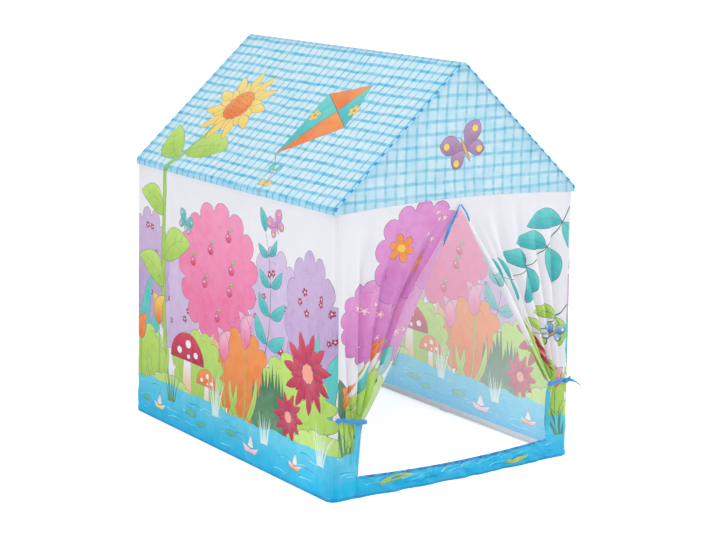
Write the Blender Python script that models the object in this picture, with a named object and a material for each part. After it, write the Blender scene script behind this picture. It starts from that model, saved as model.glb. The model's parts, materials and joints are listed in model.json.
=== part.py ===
"""Kids play tent: a house-shaped cloth cover over a frame of push-fit plastic poles.

Metres, +Z up. The origin is on the floor, under the middle of the ridge. The door faces -Y.
"""

import math

import bmesh
import bpy
from mathutils import Vector

# Overall size of the dressed tent
WIDTH = 0.72  # across the door
DEPTH = 0.95  # from door to back
HEIGHT = 1.02  # floor to the top of the ridge
EAVE_SEAM = 0.685  # floor to the seam between wall cloth and roof cloth
HEM_HEIGHT = 0.002  # floor to the lower edge of the walls

# Fits
CLEAR = 0.0003  # between pieces that touch
OVERRUN = 0.004  # how far a cut runs past what it cuts

# Poles
POLE_RADIUS = 0.008
POLE_WALL = 0.0015
ROUND_SIDES = 12  # facets of every pole and socket

# Connectors and the joints between half poles
SOCKET_WALL = 0.0022
SOCKET_DEPTH = 0.030
HUB_WALL = 0.004  # plastic between the bores of two arms at a right angle
WEB_WALL = 0.003  # plastic between the bores of a rafter and a cross rail
HUB_START = 0.0012  # how far an arm starts behind the connector's centre
HUB_SHARE = 0.955  # the rounded hub, as a share of the socket radius
ARM_STEP = 0.00012  # each arm of a connector is this much slimmer than the one before
FOOT_STEP = 0.0005  # a foot stands this far below the sockets
BELL_LENGTH = 0.030  # overlap of one half pole in the other
BELL_TAPER = 0.006

# Cover
CLOTH = 0.001
RAKE_LIP = 0.003  # the roof's hemmed end stands this far in front of the gable
EAVE_DROP = 0.010  # from the eave rail's centre down to the eave seam
GABLE_RISE = 0.013  # the gable's lower seam bows up this much in the middle
CORNER_STEPS = 4  # facets of a rounded cloth corner
SEAM_STEPS = 12  # facets of a gable's bowed seam

# Doorway
SLIT_TOP = 0.682  # floor to the top of the slit
SILL_HEIGHT = 0.054
SWING_CLEAR = 0.010  # from the sill to a curtain's edge as it swings over
SILL_DIP = 0.010  # the sill's top edge hangs this much lower in the middle
SILL_BULGE = 0.0022  # slack cloth stands this far in front of the walls
SILL_FOLD = 0.0006
SILL_FOLDS = 5
STRIP_WIDTH_LOW = 0.0592  # flat corner strip beside the sill, from the post's centre
STRIP_WIDTH_HIGH = 0.0152  # the same strip beside the gathered cloth
STRIP_STEP_LOW = 0.150  # where the strip starts to narrow
STRIP_STEP_HIGH = 0.215
HEADER_GAP = 0.003  # from the top of the slit to the cloth above it

# Curtains, tied back
BUNDLE_WIDTH_LEFT = 0.0714  # gathered cloth at the ribbon, from the corner strip
BUNDLE_WIDTH_RIGHT = 0.0391
EDGE_OFFSET = 0.003  # free edge from the slit's middle
EDGE_START = 0.020  # top of the free edge, from the pivot
TIE_REACH = 0.560  # pivot to the ribbon
TAIL_ANGLE = math.radians(14)  # the tail hangs this much steeper than the edge
EDGE_WIDTH_TOP = 0.005
EDGE_WIDTH_MIDDLE = 0.034
EDGE_WIDTH_TIE = 0.016
EDGE_WIDTH_TAIL = 0.022
EDGE_RECESS = 0.0045  # the turned edge lies this far behind the front
EDGE_FOLD = 0.010
EDGE_FOLDS = 2
CURTAIN_FOLD = 0.013
CURTAIN_FOLDS = 5
FOLD_CROWD = 0.75  # below 1 the folds crowd towards the free edge
FOLD_STEEP_SHARE = 1.2  # a fold's depth is at most this share of its width
HEADER_ROWS = 2  # rows of cloth above the top of the slit
TIED_ROWS = 16  # rows of cloth from the top of the slit to the ribbon
TAIL_ROWS = 4
CURTAIN_COLUMNS = 28
EDGE_COLUMNS = 12
SILL_COLUMNS = 30
SILL_ROWS = 4

# Ribbons
RIBBON_WIDTH = 0.012
RIBBON_THICKNESS = 0.0008
RIBBON_FROM_CORNER = 0.008  # sewn end, from the outer corner
RIBBON_RISE = 0.0147  # sewn end of both ribbons, above the left curtain's edge at its ribbon
RIBBON_LENGTH_LEFT = 0.100
RIBBON_LENGTH_RIGHT = 0.066
RIBBON_DROOP_LEFT = math.radians(18)
RIBBON_DROOP_RIGHT = math.radians(-2)

# Sizes that follow from those above
BORE_RADIUS = POLE_RADIUS + CLEAR
SOCKET_RADIUS = BORE_RADIUS + SOCKET_WALL
COVER_OFFSET = SOCKET_RADIUS + CLEAR + CLOTH  # pole centre to the outside of the cloth
FACE_Y = DEPTH / 2 - RAKE_LIP  # outside of the front and back cloth
POST_X = WIDTH / 2 - COVER_OFFSET
POST_Y = FACE_Y - COVER_OFFSET
BASE_Z = SOCKET_RADIUS + FOOT_STEP
EAVE_Z = EAVE_SEAM + EAVE_DROP
RIDGE_Z = HEIGHT - COVER_OFFSET
PITCH = math.atan2(RIDGE_Z - EAVE_Z, POST_X)
SQUARE_SEAT = BORE_RADIUS + HUB_WALL  # connector centre to a pole's end
SHARP_SEAT = (BORE_RADIUS + WEB_WALL / 2) / math.tan(PITCH / 2)
DOOR_HALF = POST_X - STRIP_WIDTH_LOW  # half the doorway at the sill
CURTAIN_HALF = POST_X - STRIP_WIDTH_HIGH  # half the width between the corner strips
EDGE_END = SLIT_TOP - SILL_HEIGHT - SWING_CLEAR  # pivot to the lower end of a curtain's edge
TAIL_LENGTH = EDGE_END - TIE_REACH  # free edge below the ribbon

X, Y, Z = Vector((1, 0, 0)), Vector((0, 1, 0)), Vector((0, 0, 1))
SIDES = {"left": -1, "right": 1}
ENDS = {"front": -1, "back": 1}


def clear_scene():
    for thing in list(bpy.data.objects):
        bpy.data.objects.remove(thing, do_unlink=True)


def make_material(name, colour, roughness, metallic=0.0):
    material = bpy.data.materials.new(name)
    material.use_nodes = True
    shader = material.node_tree.nodes["Principled BSDF"]
    shader.inputs["Base Color"].default_value = (*colour, 1)
    shader.inputs["Roughness"].default_value = roughness
    shader.inputs["Metallic"].default_value = metallic
    material.diffuse_color = (*colour, 1)
    return material


def add_object(name, shape, look, origin=None):
    """Turns a bmesh into a named object with its own material, its origin where asked."""
    bmesh.ops.recalc_face_normals(shape, faces=shape.faces)
    if origin is not None:
        bmesh.ops.translate(shape, verts=shape.verts, vec=-origin)
    mesh = bpy.data.meshes.new(name)
    shape.to_mesh(mesh)
    shape.free()
    mesh.shade_smooth()
    mesh.set_sharp_from_angle(angle=math.radians(35))
    thing = bpy.data.objects.new(name, mesh)
    if origin is not None:
        thing.location = origin
    thing.data.materials.append(make_material(name, *look))
    bpy.context.scene.collection.objects.link(thing)
    return thing


def side_axes(direction):
    """Two directions square to a pole. Pieces on one line share them, so their facets line up."""
    first = Z if abs(direction.y) > abs(direction.x) + abs(direction.z) else Y
    return first, direction.cross(first).normalized()


def ring(centre, direction, radius):
    first, second = side_axes(direction)
    turns = [2 * math.pi * k / ROUND_SIDES for k in range(ROUND_SIDES)]
    return [centre + radius * (math.cos(a) * first + math.sin(a) * second) for a in turns]


def add_solid_rod(shape, start, end, radius):
    """A closed rod inside a bmesh, for the outside of a socket or for a bore's cutter."""
    direction = (end - start).normalized()
    low = [shape.verts.new(p) for p in ring(start, direction, radius)]
    high = [shape.verts.new(p) for p in ring(end, direction, radius)]
    for k in range(ROUND_SIDES):
        n = (k + 1) % ROUND_SIDES
        shape.faces.new((low[k], low[n], high[n], high[k]))
    shape.faces.new(list(reversed(low)))
    shape.faces.new(high)


def add_turned(shape, start, direction, profile):
    """A turned piece with an open bore. The profile lists distance along the axis and radius."""
    loops = []
    for along, radius in profile:
        centre = start + direction * along
        loops.append([shape.verts.new(p) for p in ring(centre, direction, radius)])
    for j in range(len(loops)):
        here, there = loops[j], loops[(j + 1) % len(loops)]
        for k in range(ROUND_SIDES):
            n = (k + 1) % ROUND_SIDES
            shape.faces.new((here[k], here[n], there[n], there[k]))


# Poles

POLE_LOOK = ((0.86, 0.87, 0.88), 0.35)


def make_pole(name, start, end, belled=False):
    """A pole, plain or with a bell past its end that takes the next one."""
    direction = (end - start).normalized()
    length = (end - start).length
    inner = POLE_RADIUS - POLE_WALL
    profile = [(0, inner), (0, POLE_RADIUS)]
    if belled:
        outside = BORE_RADIUS + POLE_WALL
        profile += [(length - BELL_TAPER, POLE_RADIUS), (length, outside)]
        profile += [(length + BELL_LENGTH, outside), (length + BELL_LENGTH, BORE_RADIUS)]
        profile += [(length, BORE_RADIUS), (length, inner)]
    else:
        profile += [(length, POLE_RADIUS), (length, inner)]
    shape = bmesh.new()
    add_turned(shape, start, direction, profile)
    add_object(name, shape, POLE_LOOK)


def make_run(name, start, end, start_seat, end_seat, halves):
    """A pole between two connectors, whole or as two halves, one pushed into the other's bell."""
    direction = (end - start).normalized()
    first = start + direction * (start_seat + CLEAR)
    last = end - direction * (end_seat + CLEAR)
    if not halves:
        make_pole(name, first, last)
        return
    middle = (first + last) / 2
    make_pole(f"{name}_{halves[0]}", first, middle, belled=True)
    make_pole(f"{name}_{halves[1]}", middle + direction * CLEAR, last)


def make_poles():
    ridge = {e: Vector((0, s * POST_Y, RIDGE_Z)) for e, s in ENDS.items()}
    for level, height, seat in (("base", BASE_Z, SQUARE_SEAT), ("eave", EAVE_Z, SHARP_SEAT)):
        corner = {
            (e, s): Vector((x * POST_X, y * POST_Y, height))
            for e, y in ENDS.items()
            for s, x in SIDES.items()
        }
        for side in SIDES:
            ends = corner["front", side], corner["back", side]
            make_run(f"{level}_rail_{side}", *ends, SQUARE_SEAT, SQUARE_SEAT, ("front", "back"))
        for end in ENDS:
            ends = corner[end, "left"], corner[end, "right"]
            make_run(f"{level}_cross_rail_{end}", *ends, seat, seat, ("left", "right"))
    for end, y in ENDS.items():
        for side, x in SIDES.items():
            foot = Vector((x * POST_X, y * POST_Y, BASE_Z))
            head = Vector((x * POST_X, y * POST_Y, EAVE_Z))
            make_run(f"post_{end}_{side}", foot, head, SQUARE_SEAT, SQUARE_SEAT, ("lower", "upper"))
            make_run(f"rafter_{end}_{side}", head, ridge[end], SHARP_SEAT, SQUARE_SEAT, None)
    make_run("ridge_pole", ridge["front"], ridge["back"], SQUARE_SEAT, SQUARE_SEAT, ("front", "back"))


# Connectors


def temporary(shape):
    bmesh.ops.recalc_face_normals(shape, faces=shape.faces)
    mesh = bpy.data.meshes.new("tool")
    shape.to_mesh(mesh)
    shape.free()
    thing = bpy.data.objects.new("tool", mesh)
    thing.hide_render = True
    thing.display_type = "WIRE"
    bpy.context.scene.collection.objects.link(thing)
    return thing


def combine(body, tool, operation):
    """Joins a tool to a body or cuts it away, and puts the result in the body's mesh."""
    modifier = body.modifiers.new("combine", "BOOLEAN")
    modifier.operation = operation
    modifier.solver = "EXACT"
    modifier.object = tool
    bpy.context.view_layer.update()
    evaluated = body.evaluated_get(bpy.context.evaluated_depsgraph_get())
    result = bpy.data.meshes.new_from_object(evaluated)
    body.modifiers.clear()
    old, body.data = body.data, result
    bpy.data.meshes.remove(old)
    bpy.data.objects.remove(tool, do_unlink=True)


def make_connector(name, centre, arms, foot=None):
    """A moulded connector. Each arm is a direction and the depth of its seat."""
    hub = bmesh.new()
    half_sides = ROUND_SIDES // 2
    bmesh.ops.create_uvsphere(
        hub, u_segments=ROUND_SIDES, v_segments=half_sides, radius=SOCKET_RADIUS * HUB_SHARE
    )
    bmesh.ops.translate(hub, verts=hub.verts, vec=centre)
    body = temporary(hub)
    for k, (direction, seat) in enumerate(arms):
        arm = bmesh.new()
        start = centre - direction * HUB_START
        if foot is not None and direction == Z:
            start = Vector((centre.x, centre.y, foot))
        radius = SOCKET_RADIUS - ARM_STEP * k
        add_solid_rod(arm, start, centre + direction * (seat + SOCKET_DEPTH), radius)
        combine(body, temporary(arm), "UNION")
    for direction, seat in arms:
        bore = bmesh.new()
        mouth = centre + direction * (seat + SOCKET_DEPTH + OVERRUN)
        add_solid_rod(bore, centre + direction * seat, mouth, BORE_RADIUS)
        combine(body, temporary(bore), "DIFFERENCE")
    shape = bmesh.new()
    shape.from_mesh(body.data)
    bpy.data.objects.remove(body, do_unlink=True)
    add_object(name, shape, ((0.80, 0.82, 0.84), 0.40))


def make_connectors():
    for end, y in ENDS.items():
        inward = -y * Y
        for side, x in SIDES.items():
            across = -x * X
            slope = Vector((across.x * math.cos(PITCH), 0, math.sin(PITCH)))
            base = Vector((x * POST_X, y * POST_Y, BASE_Z))
            square = [(across, SQUARE_SEAT), (inward, SQUARE_SEAT), (Z, SQUARE_SEAT)]
            make_connector(f"base_connector_{end}_{side}", base, square, foot=0)
            eave = Vector((x * POST_X, y * POST_Y, EAVE_Z))
            arms = [(-Z, SQUARE_SEAT), (inward, SQUARE_SEAT), (across, SHARP_SEAT), (slope, SHARP_SEAT)]
            make_connector(f"eave_connector_{end}_{side}", eave, arms)
        down = [Vector((x * math.cos(PITCH), 0, -math.sin(PITCH))) for x in SIDES.values()]
        arms = [(d, SQUARE_SEAT) for d in down] + [(inward, SQUARE_SEAT)]
        make_connector(f"ridge_connector_{end}", Vector((0, y * POST_Y, RIDGE_Z)), arms)


# Cover

ROOF_LOOK = ((0.62, 0.84, 0.94), 0.85)
GABLE_LOOK = ((0.68, 0.86, 0.92), 0.85)
WALL_LOOK = ((0.90, 0.84, 0.90), 0.85)
CURTAIN_LOOK = ((0.86, 0.68, 0.85), 0.85)
EDGE_LOOK = ((0.80, 0.78, 0.90), 0.85)
SILL_LOOK = ((0.10, 0.55, 0.85), 0.80)
RIBBON_LOOK = ((0.02, 0.45, 0.85), 0.35)


def arc(centre, radius, start, end, steps=CORNER_STEPS):
    """Points of an arc in a plane, from one angle to another."""
    angles = [start + (end - start) * k / steps for k in range(steps + 1)]
    return [(centre[0] + radius * math.cos(a), centre[1] + radius * math.sin(a)) for a in angles]


def add_grid_sheet(shape, rows, inward):
    """A closed sheet of cloth from a grid of points on its outside."""
    outer = [[shape.verts.new(p) for p in row] for row in rows]
    inner = [[shape.verts.new(p + inward * CLOTH) for p in row] for row in rows]
    last_row, last_column = len(rows) - 1, len(rows[0]) - 1
    for j in range(last_row):
        for k in range(last_column):
            for grid in (outer, inner):
                square = (grid[j][k], grid[j][k + 1], grid[j + 1][k + 1], grid[j + 1][k])
                shape.faces.new(square if grid is outer else square[::-1])
    for k in range(last_column):
        shape.faces.new((outer[0][k], inner[0][k], inner[0][k + 1], outer[0][k + 1]))
        far = last_row
        shape.faces.new((outer[far][k + 1], inner[far][k + 1], inner[far][k], outer[far][k]))
    for j in range(last_row):
        shape.faces.new((outer[j + 1][0], inner[j + 1][0], inner[j][0], outer[j][0]))
        far = last_column
        shape.faces.new((outer[j][far], inner[j][far], inner[j + 1][far], outer[j + 1][far]))


def add_bent_strip(shape, outside, inside, place, low, high):
    """A bent sheet: a profile with an outer and an inner line, drawn out from low to high."""
    outline = outside + inside[::-1]
    near = [shape.verts.new(place(p, low)) for p in outline]
    far = [shape.verts.new(place(p, high)) for p in outline]
    count = len(outline)
    for k in range(count):
        n = (k + 1) % count
        shape.faces.new((near[k], near[n], far[n], far[k]))
    for loop in (near, far):
        for k in range(len(outside) - 1):
            shape.faces.new((loop[k], loop[k + 1], loop[count - 2 - k], loop[count - 1 - k]))


def add_flat_sheet(shape, outline, face, inward):
    """A flat sheet with an outline in X and Z, its outside at y = face."""
    outer = [shape.verts.new((x, face, z)) for x, z in outline]
    inner = [shape.verts.new((x, face + inward * CLOTH, z)) for x, z in outline]
    shape.faces.new(outer)
    shape.faces.new(inner[::-1])
    for k in range(len(outline)):
        n = (k + 1) % len(outline)
        shape.faces.new((outer[k], inner[k], inner[n], outer[n]))


def make_roof():
    """Each slope wraps half the ridge, runs down the rafters and rounds the eave to its seam."""
    for side, x in SIDES.items():
        lines = []
        for radius in (COVER_OFFSET, COVER_OFFSET - CLOTH):
            top = arc((0, RIDGE_Z), radius, math.pi / 2, math.pi / 2 + PITCH)
            top[0] = (-CLEAR / 2, top[0][1])
            bottom = arc((-POST_X, EAVE_Z), radius, math.pi / 2 + PITCH, math.pi)
            lines.append(top + bottom + [(-POST_X - radius, EAVE_SEAM)])
        shape = bmesh.new()
        add_bent_strip(
            shape, *lines, lambda p, y, x=x: Vector((-x * p[0], y, p[1])), -DEPTH / 2, DEPTH / 2
        )
        add_object(f"roof_{side}", shape, ROOF_LOOK)


def seam_height(x):
    """Height of a gable's lower seam, which bows up between the eaves."""
    return EAVE_SEAM + GABLE_RISE * (1 - (x / POST_X) ** 2)


def seam_line(start, end, drop=0.0):
    """Points along that seam, or a little below it, from one x to another."""
    places = [start + (end - start) * k / SEAM_STEPS for k in range(SEAM_STEPS + 1)]
    return [(x, seam_height(x) - drop) for x in places]


def make_gables():
    """A gable fills the end of the roof, tucked under its hemmed edge."""
    radius = COVER_OFFSET - CLOTH - CLEAR
    right = arc((POST_X, EAVE_Z), radius, 0, math.pi / 2 - PITCH)
    top = arc((0, RIDGE_Z), radius, math.pi / 2 - PITCH, math.pi / 2 + PITCH, 2 * CORNER_STEPS)
    left = arc((-POST_X, EAVE_Z), radius, math.pi / 2 + PITCH, math.pi)
    side = POST_X + radius
    foot = [(-side, EAVE_SEAM)] + seam_line(-POST_X, POST_X)[1:-1] + [(side, EAVE_SEAM)]
    for end, y in ENDS.items():
        shape = bmesh.new()
        add_flat_sheet(shape, right + top + left + foot, y * FACE_Y, -y)
        add_object(f"gable_{end}", shape, GABLE_LOOK)


def make_walls():
    """Side walls wrap the posts to the front and back, and the back wall lies between them."""
    top = EAVE_SEAM - CLEAR
    for side, x in SIDES.items():
        lines = []
        for radius in (COVER_OFFSET, COVER_OFFSET - CLOTH):
            front = arc((-POST_X, -POST_Y), radius, -math.pi / 2, -math.pi)
            back = arc((-POST_X, POST_Y), radius, math.pi, math.pi / 2)
            lines.append(front + back)
        shape = bmesh.new()
        add_bent_strip(shape, *lines, lambda p, z, x=x: Vector((-x * p[0], p[1], z)), HEM_HEIGHT, top)
        add_object(f"wall_{side}", shape, WALL_LOOK)
    shape = bmesh.new()
    inner = POST_X - CLEAR
    outline = [(-inner, HEM_HEIGHT), (inner, HEM_HEIGHT)] + seam_line(inner, -inner, CLEAR)
    add_flat_sheet(shape, outline, FACE_Y, -1)
    add_object("wall_back", shape, WALL_LOOK)


def make_front_corners():
    """The flat strips of the front wall, between the corners and the curtains."""
    for side, x in SIDES.items():
        outer = POST_X - CLEAR
        outline = [
            (outer, HEM_HEIGHT),
            (outer, seam_height(outer) - CLEAR),
            (CURTAIN_HALF, seam_height(CURTAIN_HALF) - CLEAR),
            (CURTAIN_HALF, STRIP_STEP_HIGH),
            (DOOR_HALF, STRIP_STEP_LOW),
            (DOOR_HALF, HEM_HEIGHT),
        ]
        shape = bmesh.new()
        add_flat_sheet(shape, [(x * p[0], p[1]) for p in outline], -FACE_Y, 1)
        add_object(f"front_corner_{side}", shape, WALL_LOOK)


def make_sill():
    """The slack strip under the doorway, with its diagonal folds."""
    half = DOOR_HALF - CLEAR
    rows = []
    for j in range(SILL_ROWS + 1):
        row = []
        for k in range(SILL_COLUMNS + 1):
            across = 2 * k / SILL_COLUMNS - 1
            middle = 1 - across**2
            top = SILL_HEIGHT - SILL_DIP * middle
            up = j / SILL_ROWS
            wave = math.sin(math.pi * SILL_FOLDS * (across + up / SILL_FOLDS))
            out = SILL_BULGE * middle + SILL_FOLD * wave * middle
            row.append(Vector((half * across, -FACE_Y - out, HEM_HEIGHT + (top - HEM_HEIGHT) * up)))
        rows.append(row)
    shape = bmesh.new()
    add_grid_sheet(shape, rows, Y)
    add_object("door_sill", shape, SILL_LOOK)


def tied_angle(bundle_width):
    """Angle of a free edge from the vertical, with its curtain gathered to that width at the ribbon."""
    return math.asin((CURTAIN_HALF - bundle_width - EDGE_OFFSET) / TIE_REACH)


def smooth(t):
    t = min(max(t, 0), 1)
    return t * t * (3 - 2 * t)


def edge_width(reach):
    """Width of a curtain's turned edge, by its distance from the pivot."""
    knots = (
        (EDGE_START, EDGE_WIDTH_TOP),
        (TIE_REACH / 2, EDGE_WIDTH_MIDDLE),
        (TIE_REACH, EDGE_WIDTH_TIE),
        (EDGE_END, EDGE_WIDTH_TAIL),
    )
    for (a, wide_a), (b, wide_b) in zip(knots, knots[1:]):
        if reach <= b:
            return wide_a + (wide_b - wide_a) * smooth((reach - a) / (b - a))
    return EDGE_WIDTH_TAIL


def edge_point(side, angle, reach, off):
    """A point on a curtain's turned edge: reach along it, off across it, away from the door."""
    bend = smooth((reach - TIE_REACH) / TAIL_LENGTH) * TAIL_ANGLE
    straight = min(reach, TIE_REACH)
    along = straight * math.sin(angle) + (reach - straight) * math.sin(angle - bend)
    down = straight * math.cos(angle) + (reach - straight) * math.cos(angle - bend)
    off += EDGE_OFFSET
    out = along + off * math.cos(angle)
    return side * out, SLIT_TOP - down + off * math.sin(angle)


def tied_reaches():
    """How far from the pivot each row of gathered cloth lies, down to the ribbon."""
    return [EDGE_START + (TIE_REACH - EDGE_START) * j / TIED_ROWS for j in range(TIED_ROWS + 1)]


def make_curtain_edge(side, x, angle):
    """The free edge of a curtain, turned back on itself. It swings about the top of the slit."""
    tail = [TIE_REACH + TAIL_LENGTH * (j + 1) / TAIL_ROWS for j in range(TAIL_ROWS)]
    rows = []
    for reach in tied_reaches() + tail:
        gather = smooth(reach / TIE_REACH)
        row = []
        for k in range(EDGE_COLUMNS + 1):
            share = k / EDGE_COLUMNS
            out, up = edge_point(x, angle, reach, edge_width(reach) * share)
            wave = 1 - math.cos(2 * math.pi * EDGE_FOLDS * share)
            row.append(Vector((out, -FACE_Y + EDGE_RECESS + EDGE_FOLD * gather * wave / 2, up)))
        rows.append(row)
    shape = bmesh.new()
    add_grid_sheet(shape, rows, Y)
    pivot = Vector((0, -FACE_Y, SLIT_TOP))
    add_object(f"curtain_edge_{side}", shape, EDGE_LOOK, pivot)


def make_curtain(side, x, angle):
    """The gathered cloth between a corner strip and the turned edge. Its folds meet at the ribbon."""
    foot = STRIP_STEP_HIGH + CLEAR
    outer_top = seam_height(CURTAIN_HALF) - CLEAR
    free_side = [(CLEAR, seam_height(0) - CLEAR), (CLEAR, SLIT_TOP + HEADER_GAP)]
    free_side += [edge_point(1, angle, r, edge_width(r) + CLEAR) for r in tied_reaches()]
    rows = []
    for j, inner in enumerate(free_side):
        down = j / (len(free_side) - 1)
        outer = (CURTAIN_HALF - CLEAR, outer_top + (foot - outer_top) * down)
        steepest = FOLD_STEEP_SHARE * (outer[0] - inner[0]) / CURTAIN_FOLDS
        fold = min(CURTAIN_FOLD * smooth(down), steepest)
        row = []
        for k in range(CURTAIN_COLUMNS + 1):
            across = k / CURTAIN_COLUMNS
            out = outer[0] + (inner[0] - outer[0]) * across
            level = outer[1] + (inner[1] - outer[1]) * across
            if j == 0:
                level = seam_height(out) - CLEAR
            wave = 1 - math.cos(2 * math.pi * CURTAIN_FOLDS * across ** (1 / FOLD_CROWD))
            recess = EDGE_RECESS * min(1, j / HEADER_ROWS) * across**2
            row.append(Vector((x * out, -FACE_Y + fold * wave / 2 + recess, level)))
        rows.append(row)
    shape = bmesh.new()
    add_grid_sheet(shape, rows, Y)
    add_object(f"curtain_{side}", shape, CURTAIN_LOOK)


def make_ribbon(side, x, height, length, droop):
    """A satin tie, sewn to the corner and drawn across the gathered curtain."""
    pivot = Vector((x * (WIDTH / 2 - RIBBON_FROM_CORNER), -FACE_Y - CLEAR, height))
    along = Vector((-x * math.cos(droop), 0, -math.sin(droop)))
    across = along.cross(Y) * RIBBON_WIDTH / 2
    corners = [pivot - across, pivot + across]
    rows = [corners, [c + along * length for c in corners]]
    shape = bmesh.new()
    front = [[shape.verts.new(p - Y * RIBBON_THICKNESS) for p in row] for row in rows]
    back = [[shape.verts.new(p) for p in row] for row in rows]
    loop = [(0, 0), (0, 1), (1, 1), (1, 0)]
    shape.faces.new([front[j][k] for j, k in loop])
    shape.faces.new([back[j][k] for j, k in loop[::-1]])
    for (j, k), (m, n) in zip(loop, loop[1:] + loop[:1]):
        shape.faces.new((front[j][k], back[j][k], back[m][n], front[m][n]))
    add_object(f"ribbon_{side}", shape, RIBBON_LOOK, pivot)


def make_door():
    make_front_corners()
    make_sill()
    tied = {"left": tied_angle(BUNDLE_WIDTH_LEFT), "right": tied_angle(BUNDLE_WIDTH_RIGHT)}
    for side, x in SIDES.items():
        make_curtain(side, x, tied[side])
        make_curtain_edge(side, x, tied[side])
    height = SLIT_TOP - TIE_REACH * math.cos(tied["left"]) + RIBBON_RISE
    make_ribbon("left", -1, height, RIBBON_LENGTH_LEFT, RIBBON_DROOP_LEFT)
    make_ribbon("right", 1, height, RIBBON_LENGTH_RIGHT, RIBBON_DROOP_RIGHT)


def main():
    clear_scene()
    make_poles()
    make_connectors()
    make_roof()
    make_gables()
    make_walls()
    make_door()


main()
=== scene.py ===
import json
import math
import random
from functools import cache, partial

import bpy
import numpy as np
from mathutils import Matrix, Vector
from mathutils.geometry import delaunay_2d_cdt


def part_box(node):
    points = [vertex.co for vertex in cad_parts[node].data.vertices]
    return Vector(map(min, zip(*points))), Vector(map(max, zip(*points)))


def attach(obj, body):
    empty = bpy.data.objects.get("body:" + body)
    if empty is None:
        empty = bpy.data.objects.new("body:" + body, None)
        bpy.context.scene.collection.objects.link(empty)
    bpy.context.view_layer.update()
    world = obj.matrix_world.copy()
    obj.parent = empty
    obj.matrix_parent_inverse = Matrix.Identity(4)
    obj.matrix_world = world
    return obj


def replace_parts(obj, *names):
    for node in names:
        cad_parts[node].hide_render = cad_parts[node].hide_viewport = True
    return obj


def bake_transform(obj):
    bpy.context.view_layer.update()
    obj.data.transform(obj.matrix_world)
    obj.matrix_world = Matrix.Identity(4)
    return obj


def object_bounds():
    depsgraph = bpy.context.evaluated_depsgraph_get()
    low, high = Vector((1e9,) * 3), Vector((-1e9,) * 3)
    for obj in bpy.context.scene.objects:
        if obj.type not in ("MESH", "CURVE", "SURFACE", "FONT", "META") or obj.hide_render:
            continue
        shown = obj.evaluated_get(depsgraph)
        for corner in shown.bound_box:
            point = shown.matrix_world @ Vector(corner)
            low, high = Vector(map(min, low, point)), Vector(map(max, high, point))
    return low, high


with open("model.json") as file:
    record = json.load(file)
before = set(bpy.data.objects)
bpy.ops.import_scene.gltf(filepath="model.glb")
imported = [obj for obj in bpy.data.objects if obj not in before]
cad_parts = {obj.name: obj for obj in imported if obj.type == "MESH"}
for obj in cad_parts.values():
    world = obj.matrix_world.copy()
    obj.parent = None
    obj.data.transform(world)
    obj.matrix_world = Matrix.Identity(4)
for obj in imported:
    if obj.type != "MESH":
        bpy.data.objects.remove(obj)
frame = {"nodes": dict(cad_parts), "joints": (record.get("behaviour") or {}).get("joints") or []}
cad_low, cad_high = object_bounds()

# Sizes read from the frame, in metres


def middle(node):
    low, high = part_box(node)
    return (low + high) / 2


HALF_WIDTH = cad_high.x
HALF_DEPTH = cad_high.y
FACE_Y = -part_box("gable_front")[0].y
POST_X = -middle("post_front_left_lower").x
POST_Y = -middle("post_front_left_lower").y
EAVE_Z = middle("eave_rail_left_front").z
RIDGE_Z = middle("ridge_pole_front").z
EAVE_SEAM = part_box("roof_left")[0].z
HEM_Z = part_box("wall_left")[0].z
SILL_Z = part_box("door_sill")[1].z
DOOR_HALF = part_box("door_sill")[1].x
ROUND = HALF_WIDTH - POST_X  # radius of the cloth round a pole
PITCH = math.atan2(RIDGE_Z - EAVE_Z, POST_X)
JOINTS = {joint["name"]: joint for joint in frame["joints"]}
SLIT_TOP = JOINTS["door_left_swing"]["pos_m"][2]
RIBBON_Z = JOINTS["tie_left_drop"]["pos_m"][2]
RIBBON_X = JOINTS["tie_right_drop"]["pos_m"][0]
TENT = "tent"
TURN = 2 * math.pi

# Cloth
GRID = 0.008  # spacing of a sheet's own points
FRONT_GRID = 0.0042
GABLE_RISE = 0.013  # the gable's lower seam bows up in the middle
TUCK = 0.014  # front cloth that lies behind the gable
FOOT_FLARE = 0.008  # how far the walls hang clear of the frame at the foot

# Ink of the print
INK_WIDTH = 0.0011
FINE_INK = 0.0009

# Doorway
TIE_REACH = 0.56  # top of the slit to the ribbon, along the free edge
EDGE_LENGTH = 0.632  # the whole free edge
SLIT_GAP = 0.0004  # half the gap of the slit in the flat cloth
STRIP_X = 0.333  # where the gathered cloth starts
HANG_REST = math.radians(1.5)  # what is left of a curtain's turn once it hangs
SILL_LAP = 0.007
SILL_DIP = 0.01  # how far the sill's top edge sags in the middle
PINCH = 0.015  # how far the left ribbon draws its bundle in
FAN_REACH = 0.65  # the folds of a curtain meet here, on the line of its free edge
FAN_FOLDS = 4.5
FOLD_DEPTH = 0.018
PLEATS = 2.3  # narrow folds beside the free edge, for each wide one
PLEAT_SPREAD = 2.2  # wide folds that carry them
PLEAT_DEPTH = 0.011
EDGE_TOP, EDGE_MIDDLE, EDGE_TIE = 0.006, 0.034, 0.013  # widths of the turned border
RIBBON_WIDTH = 0.0105


def smooth(t):
    t = np.clip(t, 0.0, 1.0)
    return t * t * (3 - 2 * t)


def noise(x, y, seed):
    """Smooth noise from -1 to 1 on a square grid of hashed values."""

    def corner(i, j):
        h = np.sin(i * 127.1 + j * 311.7 + seed * 74.7) * 43758.5453
        return 2 * (h - np.floor(h)) - 1

    i, j = np.floor(x), np.floor(y)
    s, t = smooth(x - i), smooth(y - j)
    low = corner(i, j) * (1 - s) + corner(i + 1, j) * s
    high = corner(i, j + 1) * (1 - s) + corner(i + 1, j + 1) * s
    return low * (1 - t) + high * t


def waves(u, v, seed, *rows):
    """A sum of noises, each with its height and its length both ways."""
    return sum(height * noise(u / du, v / dv, seed + k) for k, (height, du, dv) in enumerate(rows))


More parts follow.
